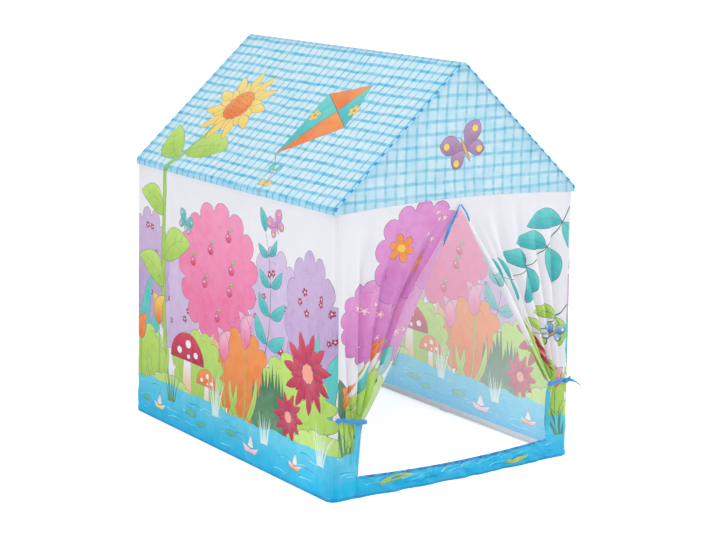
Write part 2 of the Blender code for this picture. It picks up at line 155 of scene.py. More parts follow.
def hem(v, height):
    """The roll at the foot of a sheet."""
    return height * smooth((0.015 - v) / 0.006) * smooth((v - HEM_Z) / 0.003)


# Where flat cloth lies. Each function takes flat places and how far out the cloth stands.


def flare(v):
    return FOOT_FLARE * np.clip(1 - v / EAVE_SEAM, 0, 1)


def opposite(place):
    """The same cloth on the other side of the tent."""
    return lambda u, v, out: place(u, v, out) * (-1, -1, 1)


SIDE_ARC = ROUND * math.pi / 2
SIDE_LENGTH = 2 * POST_Y + 2 * SIDE_ARC


def left_wall_place(u, v, out):
    """u runs from the back seam round the posts to the front seam."""
    straight = np.clip(u - SIDE_ARC, 0, 2 * POST_Y)
    turn = (np.clip(u, 0, SIDE_ARC) + np.clip(u - SIDE_ARC - 2 * POST_Y, 0, SIDE_ARC)) / ROUND
    reach = ROUND + out + flare(v)
    return np.column_stack((-POST_X - np.sin(turn) * reach, POST_Y - straight + np.cos(turn) * reach, v))


def front_place(u, v, out):
    return np.column_stack((u, -FACE_Y - out - flare(v), v))


ROOF_DROP = EAVE_Z - EAVE_SEAM
ROOF_LOW_ARC = ROUND * (math.pi / 2 - PITCH)
ROOF_RUN = math.hypot(POST_X, RIDGE_Z - EAVE_Z)
ROOF_LENGTH = ROOF_DROP + ROOF_LOW_ARC + ROOF_RUN + ROUND * PITCH
DEPTH = 2 * HALF_DEPTH


def left_roof_place(u, v, out):
    """u runs from the back to the front, and v from the eave seam up to the ridge."""
    drop = np.clip(ROOF_DROP - v, 0, None)
    above = v - ROOF_DROP
    turn = np.clip(above, 0, ROOF_LOW_ARC) + np.clip(above - ROOF_LOW_ARC - ROOF_RUN, 0, None)
    turn = turn / ROUND
    share = np.clip(above - ROOF_LOW_ARC, 0, ROOF_RUN) / ROOF_RUN
    reach = ROUND + out
    x = -POST_X * (1 - share) - np.cos(turn) * reach
    z = EAVE_Z - drop + (RIDGE_Z - EAVE_Z) * share + np.sin(turn) * reach
    return np.column_stack((x, HALF_DEPTH - u, z))


WALLS = {"left": left_wall_place, "right": opposite(left_wall_place)}
ENDS = {"front": front_place, "back": opposite(front_place)}
SLOPES = {"left": left_roof_place, "right": opposite(left_roof_place)}


def seam_height(x):
    """Height of a gable's lower seam."""
    return EAVE_SEAM + GABLE_RISE * (1 - (x / POST_X) ** 2)


# Drawing on flat cloth


def shades(*codes):
    """Colours given as on a screen, as the light they stand for."""
    c = np.array([tuple(bytes.fromhex(code)) for code in codes]) / 255
    return np.where(c <= 0.04045, c / 12.92, ((c + 0.055) / 1.055) ** 2.4)


# One colour, or a pair that runs from the foot of a shape to its top
INK = shades("786982")
WHITE = shades("fafafc")
PALE_PINK = shades("fcbed7")
YELLOW = shades("fcda68")
SALMON = shades("fcaa96")
REED = shades("e2f4f0")
SEED = shades("c45c30")
LILACS = shades("c4a8d6", "d4bee0")
PALE_LILACS = shades("d4bee0", "deccea")
PURPLES = shades("da8ace", "eaa0d8")
MAUVES = shades("aa80a8", "c098be")
PINKS = shades("f67eae", "fc9ec4")
ROSES = shades("f67eae", "fcbed7")
CHERRIES = shades("de4664", "f67eae")
REDS = shades("be3052", "de4664")
ORANGES = shades("f0803e", "fca054")
GOLDS = shades("f0803e", "fcda68")
YELLOWS = shades("fcda68", "fee88c")
TANS = shades("e8b27a", "f6cc96")
CREAMS = shades("f6cc96", "fafafc")
LIMES = shades("acd65c", "c6e876")
PALE_LIMES = shades("c6e876", "ceea8c")
GREENS = shades("467c5c", "62986c")
TEALS = shades("46bec2", "68d8d0")
PADS = shades("46bec2", "5ccc96")
BLUES = shades("468cbe", "aad6ec")
WATERS = shades("00c4f0", "68d6f0")
RIPPLES = shades("00a4de", "a6e6f8")
SILL_WATERS = shades("00baea", "3cd4f2")
SILL_RIPPLES = shades("009cda", "7cdef4")
HEMS = shades("00a2e0", "00b8ea")


def unit(v):
    """Directions of length 1."""
    return v / (np.linalg.norm(v, axis=-1, keepdims=True) + 1e-12)


def crossways(v):
    """Directions turned by a quarter."""
    return np.stack((-v[..., 1], v[..., 0]), -1)


def inset(points, distance):
    """An outline drawn in by a distance."""
    points = np.asarray(points, float)
    before, after = np.roll(points, 1, axis=0), np.roll(points, -1, axis=0)
    way = 1 if np.dot(points[:, 0], after[:, 1]) > np.dot(points[:, 1], after[:, 0]) else -1
    inward = unit(crossways(points - before) * way) + unit(crossways(after - points) * way)
    size = np.linalg.norm(inward, axis=1)[:, None] + 1e-12
    return points + inward / size * distance * np.clip(2 / size, 1, 1.6)


class Print:
    """Shapes drawn on flat cloth. Later ones cover earlier ones."""

    def __init__(self):
        self.shapes = []

    def fill(self, points, colours):
        """A filled outline, in one colour or in a pair."""
        points = np.asarray(points, float)
        after = np.roll(points, -1, axis=0)
        if np.dot(points[:, 0], after[:, 1]) < np.dot(points[:, 1], after[:, 0]):
            points = points[::-1]
        self.shapes.append((points, np.atleast_2d(colours)))

    def shape(self, points, colours, ink=INK_WIDTH):
        """A filled outline with an inked edge."""
        self.fill(points, INK)
        self.fill(inset(points, ink), colours)

    def stroke(self, points, width, colours=INK, end_share=0.25):
        """A drawn line that thins towards its end."""
        points = np.asarray(points, float)
        side = unit(crossways(np.gradient(points, axis=0)))
        side = side * (width / 2 * np.linspace(1, end_share, len(points))[:, None])
        self.fill(np.vstack((points + side, (points - side)[::-1])), colours)

    def mirror(self, length):
        """Turns the whole print round, end for end."""
        self.shapes = [((points * (-1, 1) + (length, 0))[::-1], colours) for points, colours in self.shapes]


def rectangle(left, right, low, high):
    return [(left, low), (right, low), (right, high), (left, high)]


def turned(points, angle, centre=(0, 0)):
    c, s = math.cos(angle), math.sin(angle)
    return np.asarray(points, float) @ np.array(((c, s), (-s, c))) + centre


def around(centre, rx, ry, a):
    """Places on an ellipse, at one angle or at several."""
    return np.stack((centre[0] + rx * np.cos(a), centre[1] + ry * np.sin(a)), -1)


def ellipse(centre, rx, ry, count=20):
    return around(centre, rx, ry, np.linspace(0, TURN, count, endpoint=False))


def scallop(centre, rx, ry, lobes, depth=0.14, seed=0):
    """A round outline of bulging lobes, as a clipped bush has."""
    t = np.linspace(0, 1, lobes * 9, endpoint=False)
    wobble = 0.05 * noise(t * lobes / 2, t * 0, seed)
    reach = 1 - depth + depth * np.abs(np.sin(math.pi * lobes * t)) ** 0.6 + wobble
    return around(centre, rx * reach, ry * reach, TURN * t)


def bow(start, end, bend, count=12):
    """Points of a bent line."""
    along = np.subtract(end, start)
    t = np.linspace(0, 1, count)
    return start + np.outer(t, along) + np.outer(4 * bend * t * (1 - t), crossways(along))


def leaf(base, tip, width, bend=0.0, belly=1.0, count=11):
    """A leaf or petal and its spine. A belly above 1 widens it near its tip."""
    spine = bow(base, tip, bend, count)
    half = width / 2 * np.sin(math.pi * np.linspace(0, 1, count) ** belly) ** 0.75
    side = np.outer(half, unit(crossways(np.subtract(tip, base))))
    return np.vstack((spine + side, (spine - side)[-2:0:-1])), spine


def blade(base, tip, width, bend):
    """A blade of grass, widest at its foot."""
    along = np.subtract(tip, base)
    across = crossways(along)
    t = np.linspace(0, 1, 9)
    spine = base + np.outer(t, along) + np.outer(bend * t**2, across)
    side = np.outer(width / 2 * (1 - t) ** 0.8 + 0.0002, unit(across))
    return np.vstack((spine + side, (spine - side)[::-1]))


# Motifs


def each(draw, art, *rows):
    """Draws one motif after another, from rows of what it takes."""
    for row in rows:
        draw(art, *row)


def draw_leaf(art, base, tip, width, colours, bend=0.0, belly=0.9, veins=3):
    outline, spine = leaf(base, tip, width, bend, belly)
    art.shape(outline, colours)
    art.stroke(spine[:-1], INK_WIDTH)
    last = len(spine) - 1
    for k in range(1, veins + 1):
        number = int(last * k / (veins + 1))
        at = spine[number]
        ahead = spine[min(last, number + 2)] - at
        ahead = ahead / (np.linalg.norm(ahead) + 1e-9)
        for turn in (0.8, -0.8):
            reach = turned([ahead * width * 0.36], turn)[0]
            art.stroke(bow(at, at + reach, 0.1 * turn, 5), 0.0007)


def draw_stalk(art, line, width, inner, end_share=0.7):
    art.stroke(line, width, GREENS[0], end_share)
    art.stroke(line, inner, LIMES[0], end_share)


def draw_bush(art, centre, rx, ry, lobes, colours, seed, dots=0, dot_colour=REDS[0]):
    art.shape(scallop(centre, rx, ry, lobes, seed=seed), colours)
    pick = random.Random(seed).uniform
    for _ in range(lobes // 2):
        a = pick(0, TURN)
        size = pick(0.012, 0.022)
        arc = around(around(centre, rx * 0.62, ry * 0.62, a), size, size, np.linspace(-0.9, 0.9, 7) + a)
        art.stroke(arc, FINE_INK)
    for _ in range(dots):
        a, far = pick(0, TURN), pick(0.1, 0.72) ** 0.6
        at = around(centre, rx * far, ry * far, a)
        draw_blossom(art, at, pick(0.008, 0.0115), 5, dot_colour, WHITE, pick(0, 1))


def draw_blossom(art, centre, radius, petals, colours, heart, turn=0.0, ink=0.0006):
    """A small flower of round petals."""
    t = np.linspace(0, 1, petals * 7, endpoint=False)
    reach = radius * (0.45 + 0.55 * np.abs(np.sin(math.pi * petals * t)) ** 0.55)
    art.shape(around(centre, reach, reach, TURN * t + turn), colours, ink)
    art.fill(ellipse(centre, radius * 0.26, radius * 0.26, 8), heart)


def draw_daisy(art, centre, radius, petals, colours, heart, turn=0.0):
    """A large flower with pointed petals in two layers."""
    for layer in range(2):
        size = radius * (1 - 0.3 * layer)
        for k in range(petals):
            a = turn + TURN * (k + layer / 2) / petals
            way = np.array((math.cos(a), math.sin(a)))
            ends = centre + way * radius * 0.1, centre + way * size
            outline, spine = leaf(*ends, size * 2.3 / petals * 1.25, 0.03, 1.2, 9)
            art.shape(outline, colours)
            art.stroke(spine[1:-3], FINE_INK)
    art.shape(scallop(centre, radius * 0.24, radius * 0.24, 9, 0.1), heart)


def draw_tulip(art, foot, top, size, colours, bend):
    """A tulip on its stalk with two long leaves."""
    draw_stalk(art, bow(foot, top, bend), 0.0075, 0.0055)
    height = top[1] - foot[1]
    for way in (-1, 1):
        tip = (foot[0] + way * height * 0.3, foot[1] + height * (0.62 + 0.08 * way))
        draw_leaf(art, foot, tip, 0.022, LIMES, -0.12 * way, 0.9, 0)
    x, y = top
    for way in (-1, 1):
        tip = (x + way * size * 0.42, y + size)
        art.shape(leaf((x, y - size * 0.1), tip, size * 0.62, 0.22 * way, 0.85)[0], colours)
    outline, spine = leaf((x, y - size * 0.12), (x, y + size * 0.92), size * 0.62, 0, 0.85)
    art.shape(outline, colours)
    art.stroke(spine[2:-3], FINE_INK)


def draw_tree(art, foot, crown, rx, ry, lobes, colours, seed, fruit):
    """A tree with a waisted trunk, a round crown and seven fruits."""
    x, y = foot
    top = crown[1] - ry * 0.55
    wide = rx * 0.13
    sides = []
    for way in (1, -1):
        for share, t in ((2.0, 0), (1.25, 0.08), (0.95, 0.3), (0.9, 0.7), (1.2, 1))[::way]:
            sides.append((x + way * wide * share + (crown[0] - x) * t, y + (top - y) * t))
    art.shape(sides, TANS)
    for k in range(3):
        start = y + (top - y) * (0.2 + 0.25 * k)
        art.stroke(bow((x - wide * 0.3, start), (x + wide * 0.2, start + 0.03), 0.2, 6), 0.001)
    draw_bush(art, crown, rx, ry, lobes, colours, seed)
    pick = random.Random(seed + 5).uniform
    for k in range(7):
        a = TURN * (k + pick(0, 0.4)) / 7
        far = 0.62 if k % 2 else 0.36
        at = around(crown, rx * far, ry * far, a)
        art.stroke(bow(at, at + (0.002, 0.022), 0.2, 5), 0.0014)
        draw_leaf(art, at + (0, 0.015), at + (0.02, 0.024), 0.009, LIMES, 0.1, 1, 0)
        art.shape(ellipse(at, 0.0135, 0.0125), fruit)
        art.fill(turned(ellipse((0, 0), 0.003, 0.002, 8), 0.6, at + (-0.004, 0.004)), WHITE)


def draw_branch(art, base, tip, bend, pairs, length, width, colours, lean=0.9):
    """A bent stalk with leaves in pairs and one at its end."""
    spine = bow(base, tip, bend, 4 * pairs + 3)
    art.stroke(spine, 0.0032, GREENS[0], 0.4)
    for k in range(1, pairs + 1):
        at = spine[4 * k - 1]
        ahead = unit(spine[4 * k] - spine[4 * k - 2])
        size = length * (1 - 0.45 * k / pairs)
        for way in (1, -1):
            reach = turned([ahead * size], lean * way)[0]
            draw_leaf(art, at, at + reach, width * size / length, colours, 0.12 * way, 0.9, 2)
    ahead = unit(spine[-1] - spine[-3])
    draw_leaf(art, spine[-1], spine[-1] + ahead * length * 0.6, width * 0.7, colours, 0, 0.9, 2)


def draw_grass(art, foot, count, height, colours, seed, spread):
    pick = random.Random(seed).uniform
    for k in range(count):
        lean = (k / (count - 1) - 0.5) * spread + pick(-0.08, 0.08)
        tall = height * pick(0.65, 1)
        start = (foot[0] + lean * 0.03, foot[1])
        tip = (foot[0] + tall * math.sin(lean), foot[1] + tall * math.cos(lean))
        art.fill(blade(start, tip, 0.006, -0.25 * lean), colours)


def draw_thicket(art, left, right, foot, height, colours, seed):
    """A stand of tall reeds, drawn as one shape with a ragged top and inked blades."""
    pick = random.Random(seed).uniform
    step = 0.014
    count = int((right - left) / step)
    top = []
    for k in range(count):
        x = left + (right - left) * (k + 0.5) / count
        tall = height * pick(0.72, 1) * (0.75 + 0.25 * math.sin(math.pi * (k + 0.5) / count))
        top += [(x - step * 0.4, foot + tall * 0.72), (x + pick(-0.3, 0.3) * step, foot + tall)]
    art.shape([(left, foot)] + top + [(right, foot + height * 0.6), (right, foot)], colours)
    for k in range(count):
        x = left + (right - left) * (k + 0.9) / count
        rise = height * pick(0.4, 0.6)
        art.stroke(bow((x, foot + 0.01), (x + 0.002, foot + rise), 0.02, 4), INK_WIDTH)


def draw_toadstool(art, foot, size, colours):
    x, y = foot
    stalk = ((-0.16, 0), (0.16, 0), (0.11, 0.75), (-0.11, 0.75))
    art.shape([(x + size * a, y + size * b) for a, b in stalk], CREAMS)
    art.shape(around((x, y + size * 0.62), size * 0.52, size * 0.46, np.linspace(0, math.pi, 16)), colours)
    for a, b, r in ((-0.24, 0.76, 0.07), (0.03, 0.9, 0.085), (0.27, 0.76, 0.065), (0.04, 0.7, 0.045)):
        art.fill(ellipse((x + size * a, y + size * b), size * r, size * r * 0.8, 10), WHITE)


def draw_butterfly(art, centre, size, angle, colours, spot):
    for way in (1, -1):
        for lean, reach, wide in ((0.95, 1.0, 0.62), (2.0, 0.72, 0.5)):
            tip = np.array((math.sin(lean) * way, math.cos(lean))) * size * reach
            wing, _ = leaf((0, 0), tip, size * wide, 0.05 * way, 1.45, 12)
            art.shape(turned(wing, angle, centre), colours)
            at = turned([tip * 0.72], angle, centre)[0]
            art.shape(ellipse(at, size * 0.12, size * 0.12, 12), spot, 0.0007)
    body, _ = leaf((0, -size * 0.42), (0, size * 0.42), size * 0.13)
    for way in (1, -1):
        feeler = bow((0, size * 0.38), (way * size * 0.26, size * 0.78), -0.12 * way, 6)
        art.stroke(turned(feeler, angle, centre), 0.0012)
    art.shape(turned(body, angle, centre), TANS[0])


def draw_boat(art, centre, size, colour):
    """A folded paper boat with a white sail."""
    hull = np.array(((-1, 0.1), (-0.62, -0.42), (0.62, -0.42), (1, 0.1), (0, -0.12))) * size + centre
    sail = np.array(((-0.42, 0.02), (0, 0.85), (0.42, 0.02), (0, -0.1))) * size + centre
    art.shape(sail, WHITE)
    art.stroke(np.array(((0, 0.8), (0, -0.1))) * size + centre, FINE_INK)
    art.shape(hull, (np.ravel(colour), WHITE[0]))


def draw_water(art, left, right, top, seed):
    """The pond along the foot of a wall, with its ripples."""
    x = np.linspace(left, right, 70)
    edge = top + 0.006 * noise(x / 0.05, x * 0, seed) + 0.003 * noise(x / 0.017, x * 0, seed + 1)
    art.fill(np.vstack((np.column_stack((x, edge)), [(right, 0), (left, 0)])), WATERS)
    pick = random.Random(seed).uniform
    for k in range(int((right - left) / 0.022)):
        at = (pick(left + 0.03, right - 0.06), pick(0.018, top - 0.015))
        end = (at[0] + pick(0.02, 0.07), at[1] + pick(-0.006, 0.006))
        line = bow(at, end, pick(-0.06, 0.12), 7)
        art.stroke(line, pick(0.0014, 0.0034), RIPPLES[k % 2], 0.15)


def draw_hem(art, left, right):
    """The deeper blue of the cloth that is turned up at the foot."""
    art.fill(rectangle(left, right, 0, 0.011), HEMS)


def draw_kite(art, centre, size, angle):
    """A diamond kite in four quarters, with bows on its tail."""
    corners = ((0, 0.62), (0.46, 0.12), (0, -0.75), (-0.46, 0.12), (0, 0.62))
    for k in range(4):
        points = np.array(((0, 0.12), corners[k], corners[k + 1])) * size
        art.shape(turned(points, angle, centre), ORANGES if k % 2 else TEALS)
    for at in ((0.24, 0.3), (-0.22, -0.14)):
        at = turned([np.multiply(at, size)], angle, centre)[0]
        draw_blossom(art, at, size * 0.09, 5, YELLOW, ORANGES[0])
    tail = turned(bow((0, -0.75 * size), (0.5 * size, -1.5 * size), 0.3, 16), angle, centre)
    art.stroke(tail, 0.003, ORANGES[0], 0.5)
    for k, at in enumerate(tail[4::4]):
        for way in (1, -1):
            art.shape(leaf(at, at + (0.026 * way, 0.012), 0.022, 0, 1.5)[0], YELLOW if k % 2 else TEALS[1])


def draw_sunflower(art, centre, radius):
    draw_daisy(art, centre, radius, 11, YELLOWS, TANS[0])
    art.shape(scallop(centre, radius * 0.4, radius * 0.4, 14, 0.08), ORANGES)
    for share, count in ((0.3, 12), (0.2, 8), (0.09, 4)):
        for k in range(count):
            at = around(centre, radius * share, radius * share, TURN * k / count + share * 9)
            art.fill(ellipse(at, 0.0022, 0.0022, 6), SEED)


def draw_garden(art, seed, mirrored):
    """The garden on a side wall, laid out from its left end, or from its right if mirrored."""
    # Trees and tall bushes at the back
    each(
        draw_bush, art,
        ((0.69, 0.42), 0.12, 0.15, 13, PALE_LILACS, 12 + seed, 10),
        ((0.86, 0.4), 0.115, 0.185, 13, LILACS, 11 + seed, 10),
        ((0.23, 0.35), 0.12, 0.16, 13, PALE_LILACS, 16 + seed, 9),
        ((0.07, 0.4), 0.115, 0.175, 13, LILACS, 13 + seed, 10),
    )
    draw_tree(art, (0.42, 0.09), (0.425, 0.455), 0.2, 0.18, 15, PINKS, 14 + seed, CHERRIES)
    draw_branch(art, (0.61, 0.2), (0.65, 0.6), -0.12, 5, 0.105, 0.044, TEALS)
    for foot, x, y, width, blades in (
        (0.02, 0.03, 0.12, 0.05, ((-0.055, 0.27), (-0.01, 0.33), (0.05, 0.29), (0.1, 0.22))),
        (0.915, 0.915, 0.13, 0.046, ((-0.07, 0.2), (-0.02, 0.27), (0.04, 0.24))),
    ):
        for lean, tall in blades:
            tip = (x + 1.25 * lean, y + tall)
            draw_leaf(art, (foot + lean * 0.3, 0.12), tip, width, TEALS, 0.06, 0.85, 0)
    # Sunflower stalk that climbs on to the roof
    stalk = bow((0.175, 0.1), (0.158, EAVE_SEAM), 0.03, 16)
    draw_stalk(art, stalk, 0.02, 0.0172, 0.8)
    each(
        draw_leaf, art,
        (stalk[9], stalk[9] + (0.14, 0.06), 0.085, LIMES, 0.15),
        (stalk[7], stalk[7] + (-0.13, 0.07), 0.075, LIMES, -0.15),
        (stalk[12], stalk[12] + (-0.12, 0.05), 0.07, LIMES, -0.15),
    )
    # Middle ground
    each(
        draw_bush, art,
        ((0.56, 0.215), 0.135, 0.135, 14, ORANGES, 21 + seed),
        ((0.33, 0.19), 0.135, 0.105, 13, LIMES, 22 + seed),
        ((0.065, 0.165), 0.11, 0.095, 11, LIMES, 23 + seed),
        ((0.8, 0.205), 0.165, 0.12, 15, LIMES, 24 + seed),
    )
    draw_thicket(art, 0.6, 0.76, 0.085, 0.2, GREENS[::-1], 25 + seed)
    draw_daisy(art, (0.845, 0.29), 0.104, 11, REDS, SALMON, 0.2)
    draw_daisy(art, (0.765, 0.165), 0.064, 10, REDS, SALMON, 0.6)
    each(
        draw_tulip, art,
        ((0.48, 0.09), (0.462, 0.245), 0.078, ROSES, 0.04),
        ((0.555, 0.085), (0.565, 0.3), 0.084, ROSES, -0.04),
        ((0.04, 0.09), (0.032, 0.215), 0.068, ORANGES, 0.05),
        ((0.118, 0.088), (0.124, 0.275), 0.076, GOLDS, -0.04),
    )
    draw_toadstool(art, (0.275, 0.095), 0.165, REDS)
    draw_toadstool(art, (0.375, 0.088), 0.1, ORANGES)
    draw_butterfly(art, (0.7, 0.62), 0.05, 0.5, PURPLES, YELLOW)
    draw_butterfly(art, (0.262, 0.56), 0.046, -0.4, TEALS, PALE_PINK)
    # Bank and pond
    draw_bush(art, (0.905, 0.11), 0.12, 0.052, 12, PALE_LIMES, 31 + seed)
    draw_bush(art, (0.185, 0.105), 0.11, 0.04, 12, PALE_LIMES, 36 + seed)
    draw_water(art, -0.01, SIDE_LENGTH + 0.01, 0.112, 32 + seed)
    each(
        draw_grass, art,
        ((0.425, 0.085), 9, 0.125, REED, 33, 0.7),
        ((0.91, 0.08), 8, 0.11, REED, 34, 0.7),
        ((0.195, 0.07), 7, 0.095, GREENS[1], 35, 0.8),
        ((0.66, 0.07), 7, 0.09, REED, 37, 0.8),
    )
    for x, y, pad in ((0.3, 0.062, 0.03), (0.352, 0.045, 0.024), (0.505, 0.06, 0.028), (0.06, 0.05, 0.026)):
        art.shape(ellipse((x, y), pad, pad * 0.32, 16), PADS)
    draw_boat(art, (0.6, 0.048), 0.04, PALE_PINK)
    draw_boat(art, (0.135, 0.05), 0.034, YELLOW)
    draw_boat(art, (0.8, 0.056), 0.034, ORANGES[1])
    draw_hem(art, -0.01, SIDE_LENGTH + 0.01)
    if mirrored:
        art.mirror(SIDE_LENGTH)


def draw_front_left(art):
    """The left half of the front wall. x is below zero here."""
    for centre, size, seed in (
        ((-0.245, 0.415), 0.1, 42), ((-0.06, 0.39), 0.118, 43), ((-0.105, 0.56), 0.138, 41),
    ):
        draw_stalk(art, bow((centre[0] + 0.015, 0.09), centre, 0.03), 0.012, 0.0096)
        draw_bush(art, centre, size, size * 1.06, 14, PURPLES, seed, 8, PALE_PINK)
    for centre, size, turn in (
        ((-0.165, 0.59), 0.036, 0.2), ((-0.07, 0.52), 0.032, 0.9), ((-0.12, 0.41), 0.026, 0.5),
    ):
        draw_blossom(art, centre, size, 6, ORANGES[1], YELLOW, turn, FINE_INK)
    draw_leaf(art, (-0.25, 0.17), (-0.345, 0.3), 0.06, GREENS, 0.15)
    draw_leaf(art, (-0.12, 0.18), (-0.02, 0.31), 0.066, TEALS, -0.15)
    draw_leaf(art, (-0.13, 0.17), (-0.215, 0.31), 0.06, TEALS, 0.12)
    draw_bush(art, (-0.075, 0.165), 0.095, 0.09, 12, LIMES, 44)
    draw_bush(art, (-0.27, 0.15), 0.095, 0.075, 11, LIMES, 45)
    draw_tulip(art, (-0.19, 0.1), (-0.175, 0.27), 0.08, ORANGES, 0.03)
    draw_tulip(art, (-0.3, 0.1), (-0.31, 0.215), 0.062, ORANGES, -0.03)
    draw_grass(art, (-0.325, 0.09), 8, 0.14, GREENS[1], 46, 0.6)
    draw_grass(art, (-0.225, 0.09), 8, 0.12, GREENS[0], 47, 0.6)
    draw_water(art, -0.37, 0.02, 0.112, 48)
    draw_hem(art, -0.37, 0.02)


def draw_front_right(art):
    draw_branch(art, (0.356, 0.665), (0.03, 0.45), 0.16, 5, 0.128, 0.06, TEALS, 1.0)
    draw_branch(art, (0.35, 0.4), (0.12, 0.3), 0.12, 4, 0.088, 0.04, LIMES, 1.0)
    draw_butterfly(art, (0.31, 0.325), 0.04, -0.3, BLUES, WHITE)
    draw_bush(art, (0.1, 0.19), 0.12, 0.11, 12, LIMES, 51)
    draw_bush(art, (0.28, 0.16), 0.09, 0.08, 11, LIMES, 52)
    draw_daisy(art, (0.19, 0.235), 0.076, 10, REDS, SALMON, 0.4)
    draw_tulip(art, (0.325, 0.1), (0.322, 0.19), 0.048, ROSES, 0.03)
    draw_tulip(art, (0.045, 0.1), (0.05, 0.265), 0.07, ROSES, 0.03)
    draw_grass(art, (0.255, 0.09), 8, 0.13, GREENS[1], 53, 0.6)
    draw_water(art, -0.02, 0.37, 0.112, 54)
    draw_grass(art, (0.335, 0.06), 6, 0.09, GREENS[1], 55, 0.7)
    draw_hem(art, -0.02, 0.37)


def draw_sill(art):
    art.fill(rectangle(-0.31, 0.31, 0, 0.08), SILL_WATERS)
    draw_leaf(art, (-0.235, 0.026), (-0.125, 0.036), 0.017, LIMES, 0.05, 1, 0)
    draw_leaf(art, (0.15, 0.02), (0.235, 0.026), 0.014, LIMES, -0.05, 1, 0)
    pick = random.Random(61).uniform
    for k in range(36):
        at = (pick(-0.28, 0.22), pick(0.016, 0.044))
        end = (at[0] + pick(0.03, 0.07), at[1] + pick(-0.004, 0.01))
        art.stroke(bow(at, end, 0.06, 7), pick(0.0016, 0.0042), SILL_RIPPLES[k % 2], 0.1)
    draw_hem(art, -0.31, 0.31)


def draw_back(art):
    """The back wall: the same garden, laid out afresh."""
    draw_bush(art, (-0.23, 0.4), 0.125, 0.18, 13, LILACS, 71, 10)
    draw_tree(art, (0.12, 0.09), (0.115, 0.46), 0.19, 0.17, 14, PURPLES, 72, ORANGES)
    draw_branch(art, (-0.06, 0.15), (-0.11, 0.56), 0.1, 5, 0.085, 0.034, TEALS)
    draw_bush(art, (-0.2, 0.19), 0.15, 0.115, 12, LIMES, 73)
    draw_bush(art, (0.22, 0.18), 0.14, 0.105, 12, ORANGES, 74)
    draw_daisy(art, (-0.24, 0.275), 0.088, 11, REDS, SALMON, 0.1)
    draw_tulip(art, (0, 0.09), (-0.008, 0.235), 0.062, ROSES, 0.04)
    draw_tulip(art, (0.25, 0.09), (0.262, 0.255), 0.058, GOLDS, -0.04)
    draw_toadstool(art, (-0.1, 0.09), 0.1, REDS)
    draw_butterfly(art, (-0.24, 0.61), 0.04, 0.4, TEALS, YELLOW)
    draw_water(art, -0.37, 0.37, 0.108, 75)
    draw_grass(art, (0.06, 0.08), 9, 0.11, REED, 76, 0.7)
    draw_boat(art, (-0.18, 0.054), 0.034, PALE_PINK)
    draw_boat(art, (0.2, 0.05), 0.03, YELLOW)
    draw_hem(art, -0.37, 0.37)


def draw_left_roof(art):
    """The sunflower that climbs from the wall, and a kite above it."""
    draw_stalk(art, bow((0.15, -0.01), (0.215, 0.19), -0.05), 0.0165, 0.014, 0.8)
    draw_leaf(art, (0.185, 0.07), (0.35, 0.11), 0.09, LIMES, 0.12)
    draw_leaf(art, (0.175, 0.05), (0.055, 0.15), 0.078, LIMES, 0.12)
    draw_sunflower(art, (0.235, 0.25), 0.128)
    draw_kite(art, (0.63, 0.27), 0.215, -0.5)


def draw_right_roof(art):
    draw_kite(art, (0.3, 0.27), 0.18, 0.5)
    draw_butterfly(art, (0.68, 0.3), 0.06, -0.4, GOLDS, TEALS[1])


def draw_gable(art):
    draw_butterfly(art, (0.015, 0.812), 0.08, 0.45, MAUVES, YELLOW)


# Sheets of cloth


def inside(points, loop):
    """Which points an outline goes round. Bits of it that are turned over hold nothing."""
    a, b = loop, np.roll(loop, -1, axis=0)
    x, y = points[:, :1], points[:, 1:]
    side = (b[:, 0] - a[:, 0]) * (y - a[:, 1]) - (x - a[:, 0]) * (b[:, 1] - a[:, 1])
    rising = (a[:, 1] <= y) & (b[:, 1] > y) & (side > 0)
    falling = (a[:, 1] > y) & (b[:, 1] <= y) & (side < 0)
    return rising.sum(axis=1) > falling.sum(axis=1)


def divided(loop, step):
    """An outline with points so close that none of its edges is longer than a step."""
    result = []
    for a, b in zip(loop, np.roll(loop, -1, axis=0)):
        count = max(1, math.ceil(np.linalg.norm(b - a) / step))
        result += [a + (b - a) * k / count for k in range(count)]
    return result


def triangulate(outline, step, art, lines=()):
    """Cuts a flat outline into triangles that follow what is drawn on it, and colours them."""
    outline = np.asarray(outline, float)
    points, edges = [], []

    def trace(line, closed=True):
        start, count = len(points), len(line)
        edges.extend((start + k, start + (k + 1) % count) for k in range(count if closed else count - 1))
        points.extend(Vector(p) for p in line)

    trace(divided(outline, step))
    low, high = outline.min(0), outline.max(0)
    rows, columns = int((high[1] - low[1]) / (step * 0.87)) + 1, int((high[0] - low[0]) / step) + 1
    for j in range(1, rows):
        for k in range(columns):
            x = low[0] + (high[0] - low[0]) * (k + (0.25 if j % 2 else 0.75)) / columns
            points.append(Vector((x, low[1] + (high[1] - low[1]) * j / rows)))
    for shape, _ in art.shapes:
        trace(divided(shape, step))
    for line in lines:
        trace(line, False)
    found = delaunay_2d_cdt(points, edges, [], 0, 1e-6, False)
    places, faces = np.array([tuple(p) for p in found[0]]), np.array(found[2])
    faces = faces[inside(places[faces].mean(axis=1), outline)]
    corners = places[faces]
    centres = corners.mean(axis=1)
    owner = np.full(len(faces), -1)
    for number, (shape, _) in enumerate(art.shapes):
        near = np.all((centres > shape.min(0)) & (centres < shape.max(0)), axis=1).nonzero()[0]
        owner[near[inside(centres[near], shape)]] = number
    colours = np.zeros((len(faces), 3, 4), np.float32)
    for number in np.unique(owner[owner >= 0]):
        shape, pair = art.shapes[number]
        mine = owner == number
        foot, head = shape[:, 1].min(), shape[:, 1].max()
        share = smooth((corners[mine][:, :, 1:] - foot) / (head - foot))
        colours[mine, :, :3] = pair[0] + (pair[-1] - pair[0]) * share
        colours[mine, :, 3] = 1
    return places, faces, colours


def add_mesh(name, points, faces, material):
    mesh = bpy.data.meshes.new(name)
    mesh.from_pydata(points, [], faces)
    mesh.materials.append(material)
    return add_object(name, mesh), mesh


